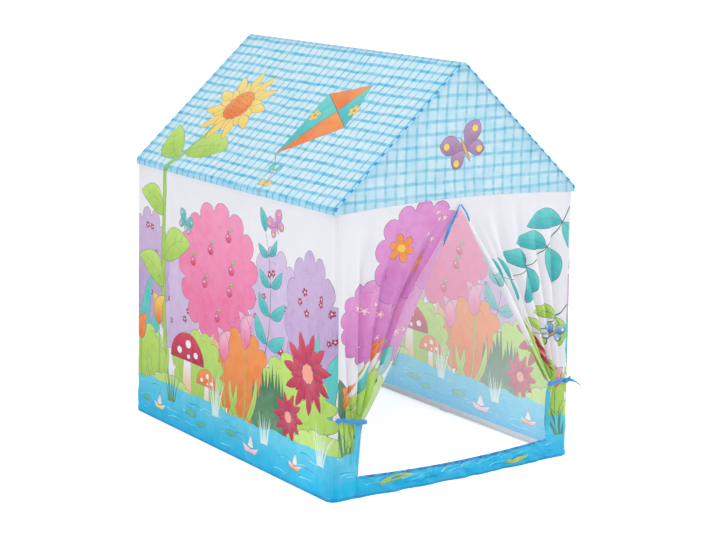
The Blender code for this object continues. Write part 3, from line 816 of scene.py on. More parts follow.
def add_object(name, data):
    thing = bpy.data.objects.new(name, data)
    bpy.context.scene.collection.objects.link(thing)
    return thing


def add_chart(mesh, name, places):
    mesh.uv_layers.new(name=name).data.foreach_set("uv", places.reshape(-1).astype(np.float32))


def make_sheet(name, flat, faces, colours, places, seam, kind="white"):
    """A mesh of one sheet, with its flat places, its print and how far each point is from a seam."""
    used, faces = np.unique(faces, return_inverse=True)
    faces = faces.reshape(-1, 3)
    sheet, mesh = add_mesh(name, places[used].tolist(), faces.tolist(), cloth(kind))
    mesh.color_attributes.new("print", "FLOAT_COLOR", "CORNER").data.foreach_set("color", colours.reshape(-1))
    corners = flat[used][faces]
    low, high = corners.min((0, 1)), corners.max((0, 1))
    add_chart(mesh, "flat", corners)
    add_chart(mesh, "OFBake", (corners - low) / (high - low).max() * 0.98 + 0.01)
    mesh.attributes.new("seam", "FLOAT", "POINT").data.foreach_set("value", seam[used].astype(np.float32))
    mesh.shade_smooth()
    a, b = corners[:, 1] - corners[:, 0], corners[:, 2] - corners[:, 0]
    return sheet, float(np.abs(a[:, 0] * b[:, 1] - a[:, 1] * b[:, 0]).sum() / 2)


def declare(area, size):
    area = min(area, size[0] * size[1])


def seam_distance(flat, lines):
    """How far flat points are from the nearest of some straight seams."""
    best = np.full(len(flat), 1.0)
    for a, b in lines:
        along = np.subtract(b, a)
        t = np.clip((flat - a) @ along / (along @ along), 0, 1)
        best = np.minimum(best, np.linalg.norm(flat - a - t[:, None] * along, axis=1))
    return best


def hang(node, kind, draw, outline, place, out, size, seams=None, grid=GRID):
    """Prints, cuts out and lays one sheet that stays where it is."""
    art = Print()
    draw(art)
    flat, faces, colours = triangulate(outline, grid, art)
    places = place(*flat.T, out(*flat.T))
    seam = seam_distance(flat, seams or zip(outline, outline[1:] + outline[:1]))
    look = kind if kind in CHECKS else "white"
    sheet, area = make_sheet(node + "_cloth", flat, faces, colours, places, seam, look)
    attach(sheet, TENT)
    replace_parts(sheet, node)
    declare(area, size)


def wall_out(u, v, seed):
    """How far a wall's cloth stands out: slack between the poles, upright creases, a rolled hem."""
    post = smooth(np.minimum(u - SIDE_ARC, SIDE_LENGTH - SIDE_ARC - u) / 0.06)
    rail = smooth((EAVE_SEAM - 0.012 - v) / 0.05) * smooth((v - 0.026) / 0.05)
    slack = -0.0022 + 0.0022 * noise(u / 0.16, v / 0.3, seed)
    creases = 0.0015 * noise(u / 0.026 + 0.4 * v / 0.1, v / 0.22, seed + 1)
    fine = 0.0005 * noise(u / 0.012, v / 0.017, seed + 2)
    foot = smooth((0.11 - v) / 0.05) * smooth((v - 0.016) / 0.02)
    folds = 0.003 * foot * noise((u + 0.8 * v) / 0.026, (v - 0.3 * u) / 0.07, seed + 3)
    return post * rail * (slack + creases + fine) + np.maximum(folds, -0.0008) + hem(v, 0.0015)


def make_side_walls():
    outline = rectangle(0, SIDE_LENGTH, HEM_Z, EAVE_SEAM)
    for side, seed, mirrored in (("left", 1, False), ("right", 2, True)):
        draw = partial(draw_garden, seed=seed, mirrored=mirrored)
        out = partial(wall_out, seed=seed)
        size = (SIDE_LENGTH, EAVE_SEAM)
        hang(f"wall_{side}", "wall", draw, outline, WALLS[side], out, size)


def back_out(u, v):
    """Slack and creases of the back wall, none at its edges, and its hem."""
    inner = smooth((POST_X - np.abs(u)) / 0.05) * smooth((v - 0.02) / 0.04) * smooth((EAVE_SEAM - v) / 0.04)
    slack = -0.002 + waves(u, v, 5, (0.002, 0.14, 0.2), (0.001, 0.024, 0.15), (0.0005, 0.013, 0.017))
    return inner * slack + 0.0016 * smooth((0.015 - v) / 0.006)


def make_back_wall():
    top = [(x, seam_height(x)) for x in np.linspace(POST_X, -POST_X, 15)]
    outline = [(-POST_X, HEM_Z), (POST_X, HEM_Z)] + top
    seams = [(outline[0], outline[1]), (outline[1], outline[2]), (outline[0], outline[-1])]
    size = (2 * POST_X, EAVE_SEAM + GABLE_RISE)
    hang("wall_back", "wall", draw_back, outline, ENDS["back"], back_out, size, seams)


def roof_out(u, v, seed):
    """How far the roof's cloth stands out: it sags a little between the rafters."""
    inner = smooth(np.minimum(u, DEPTH - u) / 0.09)
    eave = smooth((v - ROOF_DROP - ROOF_LOW_ARC) / 0.06)
    ridge = smooth((ROOF_LENGTH - 0.012 - v) / 0.06)
    sag = -0.0045 * np.sin(math.pi * np.clip(u / DEPTH, 0, 1))
    sag = sag + waves(u, v, seed, (0.0017, 0.11, 0.05), (0.0011, 0.045, 0.11), (0.0005, 0.014, 0.018))
    lip = 0.001 * smooth((0.014 - v) / 0.01) * (1 + noise(u / 0.02, v * 0, seed + 3))
    return inner * eave * ridge * sag + lip


def make_roofs():
    """Both slopes, each wrapped over the ridge pole and round its eave rail."""
    outline = rectangle(0, DEPTH, 0, ROOF_LENGTH)
    for side, draw, seed in (("left", draw_left_roof, 7), ("right", draw_right_roof, 9)):
        out = partial(roof_out, seed=seed)
        hang(f"roof_{side}", "roof", draw, outline, SLOPES[side], out, (DEPTH, ROOF_LENGTH))


GABLE_MIDDLE = (EAVE_Z + RIDGE_Z) / 2


def gable_out(u, v):
    inner = smooth((RIDGE_Z - v - np.abs(u) * math.tan(PITCH)) / 0.06) * smooth((v - EAVE_SEAM - 0.01) / 0.05)
    slack = -0.0025 + 0.0015 * noise(u / 0.1, (v - GABLE_MIDDLE) / 0.1, 15)
    return inner * (slack + waves(u, v, 16, (0.001, 0.03, 0.12), (0.0004, 0.014, 0.018)))


def make_gables():
    """Both gables, their edges just inside the roof cloth that wraps the rafters."""
    reach = ROUND - 0.0013
    right, left = math.pi / 2 - PITCH, math.pi / 2 + PITCH
    outline = []
    for centre, start, end, count in (
        ((POST_X, EAVE_Z), 0, right, 5), ((0, RIDGE_Z), right, left, 9), ((-POST_X, EAVE_Z), left, math.pi, 5),
    ):
        outline += [tuple(p) for p in around(centre, reach, reach, np.linspace(start, end, count))]
    outline += [(-POST_X - reach, EAVE_SEAM)]
    outline += [(x, seam_height(x)) for x in np.linspace(-POST_X, POST_X, 15)]
    outline += [(POST_X + reach, EAVE_SEAM)]
    size = (2 * HALF_WIDTH, 2 * (GABLE_MIDDLE - EAVE_SEAM) + ROUND)
    for end, place in ENDS.items():
        hang(f"gable_{end}", "gable", draw_gable, outline, place, gable_out, size)


# The front wall, slit and tied back


def plane(points, values):
    """The flat function of (x, z) that has these values at three points."""
    return np.linalg.solve([(x, z, 1.0) for x, z in points], values)


class Gather:
    """How one half of the front wall lies with its free edge tied back. x is out from the slit."""

    def __init__(self, name, side):
        self.side = side
        self.turn = math.radians(JOINTS[f"door_{name}_swing"]["range_deg"][1]) + HANG_REST
        straight = self.at(TIE_REACH, self.turn)
        self.strip = (STRIP_X, SLIT_TOP - math.sqrt(TIE_REACH**2 - STRIP_X**2))
        inward = np.subtract(self.strip, straight)
        self.pinch_way = inward / np.linalg.norm(inward)
        self.pinch_size = PINCH if side < 0 else PINCH / 4
        self.tie = tuple(straight + self.pinch_way * self.pinch_size)
        self.foot = (DOOR_HALF, SILL_Z)
        # Above the ribbon, below it outside the fold, and the tail inside the fold
        self.planes = (
            plane(((0, SLIT_TOP), self.tie, self.strip), (1, 1, 0)),
            plane((self.tie, self.strip, self.foot), (1, 0, 0)),
            plane((self.tie, self.at(EDGE_LENGTH, self.turn), self.foot), (1, 1, 0)),
        )
        self.strip_angle = math.asin(STRIP_X / TIE_REACH)
        t = np.linspace(0, 1, 24)
        fold = self.tie + np.outer(t, np.subtract(self.foot, self.tie))
        self.fold_reach, self.fold_angle = self.released(*fold.T)
        self.fold_flat = self.fold_angle - self.turn * smooth(1 - t)

    @staticmethod
    def at(reach, angle):
        return (reach * np.sin(angle), SLIT_TOP - reach * np.cos(angle))

    def pinch(self, reach, share=1.0):
        """How far the ribbon draws the cloth in: most at the free edge, none at the strip."""
        above = np.clip(reach / TIE_REACH, 0, 1) ** 4
        below = 1 - smooth((reach - TIE_REACH) / 0.05)
        return self.pinch_size * np.where(reach < TIE_REACH, above, below) * np.clip(share, 0, 1)

    def edge(self, reach, off=0.0):
        """Places along the tied free edge, and beside it."""
        x, z = self.at(reach, self.turn)
        draw = self.pinch(reach)
        x = x + off * math.cos(self.turn) + self.pinch_way[0] * draw
        return x, z + off * math.sin(self.turn) + self.pinch_way[1] * draw

    def rest(self, reach, angle):
        """A tied place. The line across the ribbon is straight, so cloth above it is drawn in a little."""
        half = (self.strip_angle - self.turn) / 2
        between = np.clip(angle, self.turn, self.strip_angle) - self.turn - half
        draw = 1 - math.cos(half) / np.cos(between)
        near = np.where(reach < TIE_REACH, (reach / TIE_REACH) ** 6, smooth(1 - (reach - TIE_REACH) / 0.06))
        x, z = self.at(reach * (1 - draw * near), angle)
        draw = self.pinch(reach, (self.strip_angle - angle) / (self.strip_angle - self.turn))
        return x + self.pinch_way[0] * draw, z + self.pinch_way[1] * draw

    def released(self, x, z):
        """The reach and angle that the ribbon draws in to a tied place."""
        away_x, away_z = x, z
        for _ in range(30):
            reach, angle = np.hypot(away_x, SLIT_TOP - away_z), np.arctan2(away_x, SLIT_TOP - away_z)
            drawn_x, drawn_z = self.rest(reach, angle)
            away_x, away_z = away_x + x - drawn_x, away_z + z - drawn_z
        return reach, angle

    def follow(self, part, x, z):
        a, b, c = self.planes[part]
        return smooth(a * x + b * z + c)

    def lay(self, x, z):
        """Flat places to tied ones, and which part of the cloth each is in."""
        reach, flat = np.hypot(x, SLIT_TOP - z), np.arctan2(x, SLIT_TOP - z)
        fold_flat = np.interp(reach, self.fold_reach, self.fold_flat, right=-1.0)
        fold_angle = np.interp(reach, self.fold_reach, self.fold_angle)
        part = np.where(reach < TIE_REACH, 0, np.where(flat >= fold_flat, 1, 2))
        angle = np.zeros_like(reach)
        for number in range(3):
            mine, tail = part == number, number == 2
            low = fold_angle[mine] if tail else flat[mine]
            high = np.full(mine.sum(), self.turn + 0.02) if tail else flat[mine] + self.turn
            for _ in range(40):
                half = (low + high) / 2
                far = half - self.turn * self.follow(number, *self.rest(reach[mine], half)) > flat[mine]
                low, high = np.where(far ^ tail, low, half), np.where(far ^ tail, half, high)
            angle[mine] = (low + high) / 2
        # Cloth above the slit hangs from the gable and doesn't turn
        still = smooth((z - SLIT_TOP + 0.03) / 0.03)
        angle = angle * (1 - still) + flat * still
        return *self.rest(reach, angle), part

    def lines(self):
        """The borders between the parts, on the flat cloth."""
        angles = np.linspace(0, math.asin(POST_X / TIE_REACH), 30)
        return [
            np.column_stack(self.at(TIE_REACH, angles)),
            np.column_stack(self.at(self.fold_reach, self.fold_flat)),
        ]

    def ends(self, part):
        """Where the turn starts and ends."""
        a, b, c = self.planes[part]
        size = a * a + b * b
        start = np.array((-a * c / size, -b * c / size))
        end = start + np.array((a, b)) / size
        return [(self.side * p[0], -FACE_Y, p[1]) for p in (start, end)]


def front_out(gather, x, z, flat_x, flat_z, part):
    """How far the front cloth stands out. Its folds run with the free edge and meet at the ribbon."""
    reach = np.hypot(x, SLIT_TOP - z)
    fan_x, fan_z = gather.at(FAN_REACH, gather.turn)
    ray = np.hypot(fan_x - x, z - fan_z)
    lean = np.arctan2(fan_x - x, z - fan_z)
    lean = lean + 0.05 * noise(ray / 0.16, lean * 2, 81 + gather.side)
    step = (gather.turn - math.atan2(fan_x - STRIP_X, gather.strip[1] - fan_z)) / FAN_FOLDS
    across = (gather.turn - lean) / step
    wave = np.cos(TURN * across)
    second = np.cos(4 * math.pi * across + 2.0 + 3 * ray)
    below_seam = seam_height(x) - z
    high = smooth(below_seam / 0.03)
    shallow = smooth(below_seam / 0.2) * smooth((POST_X - 0.005 - x) / 0.045)
    folds = np.minimum(FOLD_DEPTH * shallow, 1.15 * ray * step) * (0.5 * wave + 0.16 * second - 0.62)
    folds = folds * (1.0 if gather.side < 0 else 0.92)
    near = smooth((PLEAT_SPREAD - across) / PLEAT_SPREAD) * smooth(across / 0.15)
    bend = PLEATS * across + 0.45 * noise(ray / 0.15, across * 1.5, 86 + gather.side)
    crest = (np.sin(math.pi * bend) ** 2 + 0.004) ** 0.3
    folds = folds + near * np.minimum(PLEAT_DEPTH * shallow, 0.3 * ray * step) * (crest - 1)
    slack = -0.0012 + 0.0012 * noise(x / 0.1, z / 0.2, 83 + gather.side)
    slack = slack + 0.0009 * noise(x / 0.02 + 2 * z, z / 0.13, 84 + gather.side)
    slack = slack * smooth((POST_X - x) / 0.03) * high
    below = smooth((0.34 - x) / 0.03) * smooth((z - 0.06) / 0.03)
    off = x - np.interp(z, (gather.foot[1], gather.tie[1]), (gather.foot[0], gather.tie[0]))
    bundle = np.cos(TURN * off / 0.017 + 3 * noise(z / 0.08, z * 0, 88))
    out = slack + np.where(part > 0, below * (0.0038 * bundle - 0.004), high * folds)
    behind = np.interp(reach, gather.fold_reach, gather.fold_flat) - np.arctan2(flat_x, SLIT_TOP - flat_z)
    out = np.where(part == 2, out - 0.01 * smooth(behind / 0.12), out)
    return out + hem(z, 0.0015) - 0.0022 * smooth((0.001 - below_seam) / 0.003)


def make_front_half(name, side, draw):
    """One half of the front wall in three parts."""
    gather, art = Gather(name, side), Print()
    draw(art)
    if side < 0:
        art.mirror(0)
    free, foot = (SLIT_GAP, SLIT_TOP - EDGE_LENGTH), (DOOR_HALF, SILL_Z)
    outline = [free, foot, (DOOR_HALF, HEM_Z), (POST_X, HEM_Z)]
    outline += [(x, seam_height(x) + TUCK) for x in np.linspace(POST_X, SLIT_GAP, 15)]
    flat, faces, colours = triangulate(outline, FRONT_GRID, art, gather.lines())
    x, z, part = gather.lay(*flat.T)
    places = front_place(side * x, z, front_out(gather, x, z, *flat.T, part))
    owner = gather.lay(*flat[faces].mean(axis=1).T)[2]
    seams = [(free, (SLIT_GAP, SLIT_TOP)), (free, foot), outline[2:4], ((POST_X, HEM_Z), (POST_X, EAVE_SEAM))]
    seam = seam_distance(flat, seams)
    if side < 0:
        faces, colours = faces[:, ::-1], colours[:, ::-1]
    sheets, areas = [], []
    for number, part_name in enumerate(("cloth", "gather", "tail")):
        mine = owner == number
        sheet, area = make_sheet(
            f"front_{name}_{part_name}", flat * (side, 1), faces[mine], colours[mine], places, seam
        )
        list(gather.ends(number))
        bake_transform(sheet)
        sheets.append(sheet)
        areas.append(area)
    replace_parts(sheets[0], f"curtain_{name}")
    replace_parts(sheets[1], f"front_corner_{name}")
    declare(areas[0], (POST_X, EAVE_SEAM))
    make_turned_edge(name, gather, art)
    return gather


def edge_width(gather, reach):
    """How wide the turned border is: widest in the middle, and half as wide on the right."""
    half = TIE_REACH / 2
    wide = np.where(
        reach < half,
        EDGE_TOP + (EDGE_MIDDLE - EDGE_TOP) * smooth(reach / half),
        EDGE_MIDDLE + (EDGE_TIE - EDGE_MIDDLE) * smooth((reach - half) / half),
    )
    return wide * (1.0 if gather.side < 0 else 0.5)


def make_turned_edge(name, gather, art):
    """The border of a curtain, turned back on itself so that the pale inside of the print shows."""
    reach = np.linspace(0.012, TIE_REACH + 0.004, 40)
    wide = edge_width(gather, reach)
    outline = np.vstack((
        np.column_stack((wide, SLIT_TOP - reach))[::-1],
        np.column_stack((np.full(40, SLIT_GAP), SLIT_TOP - reach)),
    ))
    flat, faces, colours = triangulate(outline, 0.004, art)
    off, far = flat[:, 0], SLIT_TOP - flat[:, 1]
    local = edge_width(gather, far)
    share = off / local
    x, z = gather.edge(far, off)
    ripple = 0.06 * noise(far / 0.045, share * 1.5, 91 + gather.side) * np.sin(math.pi * share)
    rolls = 0.05 * np.cos(TURN * (2.2 * share + 0.4 * noise(far / 0.12, far * 0, 93 + gather.side)))
    out = smooth((far - 0.02) / 0.1) * (0.15 * np.sin(math.pi * np.clip(share, 0, 1)) + ripple + rolls)
    out = 0.0012 + local * (out - 0.08 * (smooth((share - 0.8) / 0.2) + 1 - smooth(share / 0.2)))
    if gather.side > 0:
        faces, colours = faces[:, ::-1], colours[:, ::-1]
    places = front_place(gather.side * x, z, out)
    edge, area = make_sheet(
        f"curtain_edge_{name}_cloth", flat * (gather.side, 1), faces, colours, places, off
    )
    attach(edge, f"door_edge_{name}")
    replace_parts(edge, f"curtain_edge_{name}")
    size = (float(wide.max()), TIE_REACH)
    declare(area, size)


def sill_bulge(u, v):
    return 0.009 * np.clip(1 - (u / DOOR_HALF) ** 2, 0, 1) * smooth((0.06 - v) / 0.05)


def sill_out(u, v):
    """The slack strip's bulge, its diagonal folds and its hem."""
    share = np.clip(1 - (u / DOOR_HALF) ** 2, 0, 1)
    folds = 0.004 * noise((u + 1.6 * v) / 0.026, (v - 0.25 * u) / 0.05, 101) * smooth(share / 0.2)
    fine = 0.0008 * noise((u - v) / 0.009, v / 0.014, 102)
    lap = 0.0018 * smooth((np.abs(u) - DOOR_HALF + 0.004) / 0.006)
    return sill_bulge(u, v) + folds + fine + hem(v, 0.002) - lap


def make_sill():
    """The strip of cloth under the doorway."""
    half = DOOR_HALF + SILL_LAP
    top = [(x, SILL_Z - SILL_DIP * max(0, 1 - (x / DOOR_HALF) ** 2)) for x in np.linspace(half, -half, 27)]
    outline = [(-half, HEM_Z), (half, HEM_Z)] + top
    seams = [(outline[0], outline[1])] + list(zip(top, top[1:]))
    size, rests_on = (2 * half, SILL_Z), ["base_cross_rail_front_left"]
    hang("door_sill", "sill", draw_sill, outline, front_place, sill_out, size, seams, FRONT_GRID)


# Trims: bindings, rolled edges and ribbons

FORWARD = Vector((0, -1, 0))


def sweep(name, kind, body, path, widths, normal, thick, count=12, power=1.0):
    """A strip or roll along a path. Each cross-section is an oval, boxier with a power below 1."""
    path = [Vector(p) for p in path]
    widths = np.broadcast_to(widths, len(path))
    points, faces = [], []
    for k, at in enumerate(path):
        ahead = (path[min(k + 1, len(path) - 1)] - path[max(k - 1, 0)]).normalized()
        side = ahead.cross(normal[k] if isinstance(normal, list) else normal).normalized()
        up = side.cross(ahead).normalized()
        for j in range(count):
            c, s = math.cos(TURN * j / count), math.sin(TURN * j / count)
            across, lift = math.copysign(abs(c) ** power, c), math.copysign(abs(s) ** power, s)
            points.append(tuple(at + side * across * float(widths[k]) / 2 + up * lift * thick / 2))
            if k:
                here, n = k * count, (j + 1) % count
                faces.append((here - count + j, here - count + n, here + n, here + j))
    faces += [tuple(reversed(range(count))), tuple(range(len(points) - count, len(points)))]
    strip, mesh = add_mesh(name, points, faces, rolled(kind))
    length = np.cumsum([0] + [(b - a).length for a, b in zip(path, path[1:])])
    corners = np.array([loop.vertex_index for loop in mesh.loops])
    add_chart(mesh, "flat", np.column_stack((length[corners // count], corners % count / count * 0.01)))
    mesh.shade_smooth()
    mesh.set_sharp_from_angle(angle=math.radians(60))
    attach(strip, body)
    return strip


def make_rakes():
    """The rolled hem at each end of the roof, where check and seam draw dark dashes."""
    v = np.linspace(0.0, ROOF_LENGTH - 0.001, 70)
    for end, y in (("front", -1), ("back", 1)):
        for side, place in SLOPES.items():
            path = place(v * 0, v, -0.0006)
            path[:, 1] = y * (HALF_DEPTH - 0.0012)
            name = f"rake_roll_{end}_{side}"
            sweep(name, "rake", TENT, path, 0.0042, Vector((0, y, 0)), 0.0036, 8)


def make_ridge_seam():
    path = [(0, y, RIDGE_Z + ROUND - 0.0009) for y in np.linspace(-HALF_DEPTH + 0.002, HALF_DEPTH - 0.002, 60)]
    sweep("ridge_seam", "ridge", TENT, path, 0.0042, Vector((0, 0, 1)), 0.0026, 8)


def make_slit_bindings(gathers):
    """The bright blue binding at the top of each free edge."""
    for name, gather in gathers.items():
        long, wide = (0.108, 0.0066) if gather.side < 0 else (0.052, 0.0022)
        reach, share = np.linspace(0.001, long, 30), np.linspace(0, 1, 30)
        widths = 0.003 + wide * np.sin(math.pi * share**1.3) ** 1.2 * (1 - 0.25 * share)
        widths = widths * (1 - 0.75 * smooth((share - 0.85) / 0.15))
        x, z = gather.edge(reach, widths * 0.5 + 0.0003)
        lift = 0.003 + 0.0024 * np.sin(math.pi * share) + 0.0006 * noise(reach / 0.012, reach * 0, 95)
        sweep(
            f"slit_binding_{name}", "binding", f"door_edge_{name}",
            front_place(gather.side * x, z, lift), widths, FORWARD, 0.0032, 10,
        )


def make_sill_binding():
    x = np.linspace(-DOOR_HALF, DOOR_HALF, 70)
    z = SILL_Z - SILL_DIP * (1 - (x / DOOR_HALF) ** 2)
    path = front_place(x, z, sill_bulge(x, z) + 0.0014)
    sweep("sill_binding", "binding", TENT, path, 0.0062, FORWARD, 0.003, 10)


def spline(points, count):
    """Points of a smooth curve through a few chosen ones."""
    points = [Vector(p) for p in points]
    padded = [2 * points[0] - points[1]] + points + [2 * points[-1] - points[-2]]
    result = []
    for k in range(count):
        t = k / (count - 1) * (len(points) - 1)
        i = min(int(t), len(points) - 2)
        f = t - i
        a, b, c, d = padded[i : i + 4]
        result.append(
            0.5 * (2 * b + (c - a) * f + (2 * a - 5 * b + 4 * c - d) * f**2 + (3 * b - a - 3 * c + d) * f**3)
        )
    return result


def tie(side, part, rows, widths, thick, power=1.0, normal=FORWARD):
    """A piece of a satin tie. Rows give x, how far out it lies and how far above the ribbon's height."""
    way = -1 if side == "left" else 1
    face = -FACE_Y - float(flare(RIBBON_Z))
    path = spline([(way * x, face - out, RIBBON_Z + up) for x, out, up in rows], len(widths))
    name = f"ribbon_{side}_{part}"
    return sweep(name, "satin", f"tie_{side}", path, widths, normal, thick, 12, power)


def make_ribbons():
    """Satin ties. The left one wraps its bundle, the right one ends in a knot and a loose tail."""
    hook, k = RIBBON_X, np.arange(45)
    rows = (
        (hook, 0.0018, 0.001), (0.338, 0.005, 0.001), (0.318, 0.0056, -0.005),
        (0.292, 0.0058, -0.011), (0.274, 0.005, -0.013), (0.268, 0.0034, -0.012),
    )
    widths = RIBBON_WIDTH * (0.62 + 0.38 * smooth((k - 3) / 10))
    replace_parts(tie("left", "satin", rows, widths, 0.0011, 0.7), "ribbon_left")
    rows = (
        (hook, 0.0018, 0.001), (0.338, 0.005, 0.003), (0.318, 0.0052, 0.002),
        (0.3, 0.0046, 0.001), (0.291, 0.0034, 0.002),
    )
    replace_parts(tie("right", "satin", rows, np.full(37, RIBBON_WIDTH), 0.0011, 0.7), "ribbon_right")
    knot = ((hook + 0.004, 0.004, 0.004), (hook - 0.002, 0.0062, 0.001), (hook - 0.008, 0.0058, -0.001))
    for side in ("left", "right"):
        tie(side, "knot", knot, 0.007 + 0.006 * np.sin(math.pi * k[:17] / 16), 0.0064)
    rows = (
        (hook - 0.001, 0.007, 0.002), (0.36, 0.011, 0.003), (0.37, 0.015, -0.001),
        (0.379, 0.0195, -0.008), (0.386, 0.024, -0.014),
    )
    normal = [FORWARD.lerp(Vector((0.3, -0.5, 0.8)), t / 32).normalized() for t in range(33)]
    tie("right", "tail", rows, 0.0085 * (1 - 0.45 * k[:33] / 32), 0.001, 0.7, normal)
    rows = (
        (hook - 0.003, 0.005, 0.003), (hook + 0.003, 0.008, 0.009), (hook + 0.009, 0.007, 0.01),
        (hook + 0.008, 0.005, 0.004), (hook, 0.004, 0.001),
    )
    tie("right", "loop", rows, np.full(25, 0.0052), 0.0022, 0.8)


# Materials

CHECK_PITCH = 0.029
WEAVE_PITCH = 0.0007
STITCH_LINE = 0.0085  # how far the stitches are from a seam
SOFT_SHARE = 0.4  # of the light that falls on the cloth goes through it
CHECKS = {  # ground, stripes along, stripes up and the width of the stripes along
    "roof": (*shades("ceeffa", "58c7e6", "9ed3e2"), 0.0092),
    "gable": (*shades("bee6f4", "86d0e4", "b4dee8"), 0.0078),
}


class Nodes:
    """Small helpers that add and join the shader nodes of a material or a world."""

    def __init__(self, owner, shader="Principled BSDF", output="Material Output"):
        owner.use_nodes = True
        self.owner = owner
        self.tree = owner.node_tree
        self.shader = self.tree.nodes[shader]
        self.output = self.tree.nodes[output]

    def add(self, kind, inputs=(), **settings):
        node = self.tree.nodes.new("ShaderNode" + kind)
        for key, value in settings.items():
            setattr(node, key, value)
        self.fill(node, inputs)
        return node

    def fill(self, node, inputs):
        for key, value in dict(inputs).items():
            self.put(value, node.inputs[key])

    def put(self, value, socket):
        if isinstance(value, bpy.types.NodeSocket):
            self.tree.links.new(value, socket)
        elif isinstance(value, np.ndarray):
            socket.default_value = (*value.ravel(), 1.0)
        else:
            socket.default_value = value

    def math(self, operation, a, b=0.0, c=0.0):
        return self.add("Math", enumerate((a, b, c)), operation=operation).outputs[0]

    def times(self, a, b):
        return self.math("MULTIPLY", a, b)

    def plus(self, a, b):
        return self.math("ADD", a, b)

    def apart(self, a, b):
        return self.math("ABSOLUTE", self.math("SUBTRACT", a, b))

    def phase(self, value, pitch):
        return self.math("FRACT", self.math("DIVIDE", value, pitch))

    def wave(self, value, pitch):
        return self.math("SINE", self.times(value, TURN / pitch))

    def ramp(self, value, low, high, start=0.0, end=1.0):
        given = enumerate((value, low, high, start, end))
        return self.add("MapRange", given, interpolation_type="SMOOTHSTEP").outputs[0]

    def mix(self, share, a, b, blend="MIX"):
        node = self.add("Mix", {"Factor": share, 6: a, 7: b}, data_type="RGBA", blend_type=blend)
        return node.outputs[2]

    def noise(self, scale, detail=3.0, vector=None, distortion=0.0):
        inputs = {"Scale": scale, "Detail": detail, "Distortion": distortion, "Vector": vector or self.object()}
        return self.add("TexNoise", inputs).outputs["Fac"]

    def object(self):
        return self.add("TexCoord").outputs["Object"]

    def flat(self):
        """The two flat directions of a sheet, in metres."""
        split = self.add("SeparateXYZ", {0: self.add("UVMap", uv_map="flat").outputs[0]})
        return split.outputs[0], split.outputs[1]

    def bump(self, height, distance, strength, before=None):
        inputs = {"Strength": strength, "Distance": distance, "Height": height}
        return self.add("Bump", {**inputs, "Normal": before} if before else inputs).outputs[0]

    def seen(self):
        """1 where the eye or a mirror looks, and 0 where light falls."""
        path = self.add("LightPath").outputs
        return self.math("MAXIMUM", path["Is Camera Ray"], path["Is Glossy Ray"])

    def join(self, kind, first, second, share=None):
        """Sends two shaders, mixed or added, to the output."""
        inputs = (first.outputs[0], second.outputs[0])
        both = self.add(kind, enumerate(inputs if share is None else (share, *inputs)))
        self.put(both.outputs[0], self.output.inputs["Surface"])


def new_nodes(name):
    return Nodes(bpy.data.materials.new(name))


def check(nodes, pale, strong, weak, width):
    """A check as if drawn with a wet brush: two sets of stripes, deeper where they cross."""

    def stripe(along, width, soft):
        off = nodes.times(nodes.apart(nodes.phase(along, CHECK_PITCH), 0.5), CHECK_PITCH)
        return nodes.ramp(off, width / 2 + soft / 2, width / 2 - soft / 2)

    u, v = nodes.flat()
    wobble = nodes.times(nodes.math("SUBTRACT", nodes.noise(11.0), 0.5), 0.009)
    along = stripe(nodes.plus(v, wobble), width, 0.0038)
    up = stripe(nodes.plus(u, wobble), 0.007, 0.0034)
    ground = nodes.mix(nodes.ramp(nodes.noise(26.0), 0.3, 0.7), pale, 0.35 + 0.65 * pale)
    colour = nodes.mix(nodes.times(along, nodes.ramp(nodes.noise(48.0), 0.3, 0.72, 0.45, 1.0)), ground, strong)
    dry = nodes.ramp(nodes.noise(60.0), 0.3, 0.72, 0.35, 0.95)
    return nodes.mix(nodes.times(up, dry), colour, weak, "MULTIPLY")


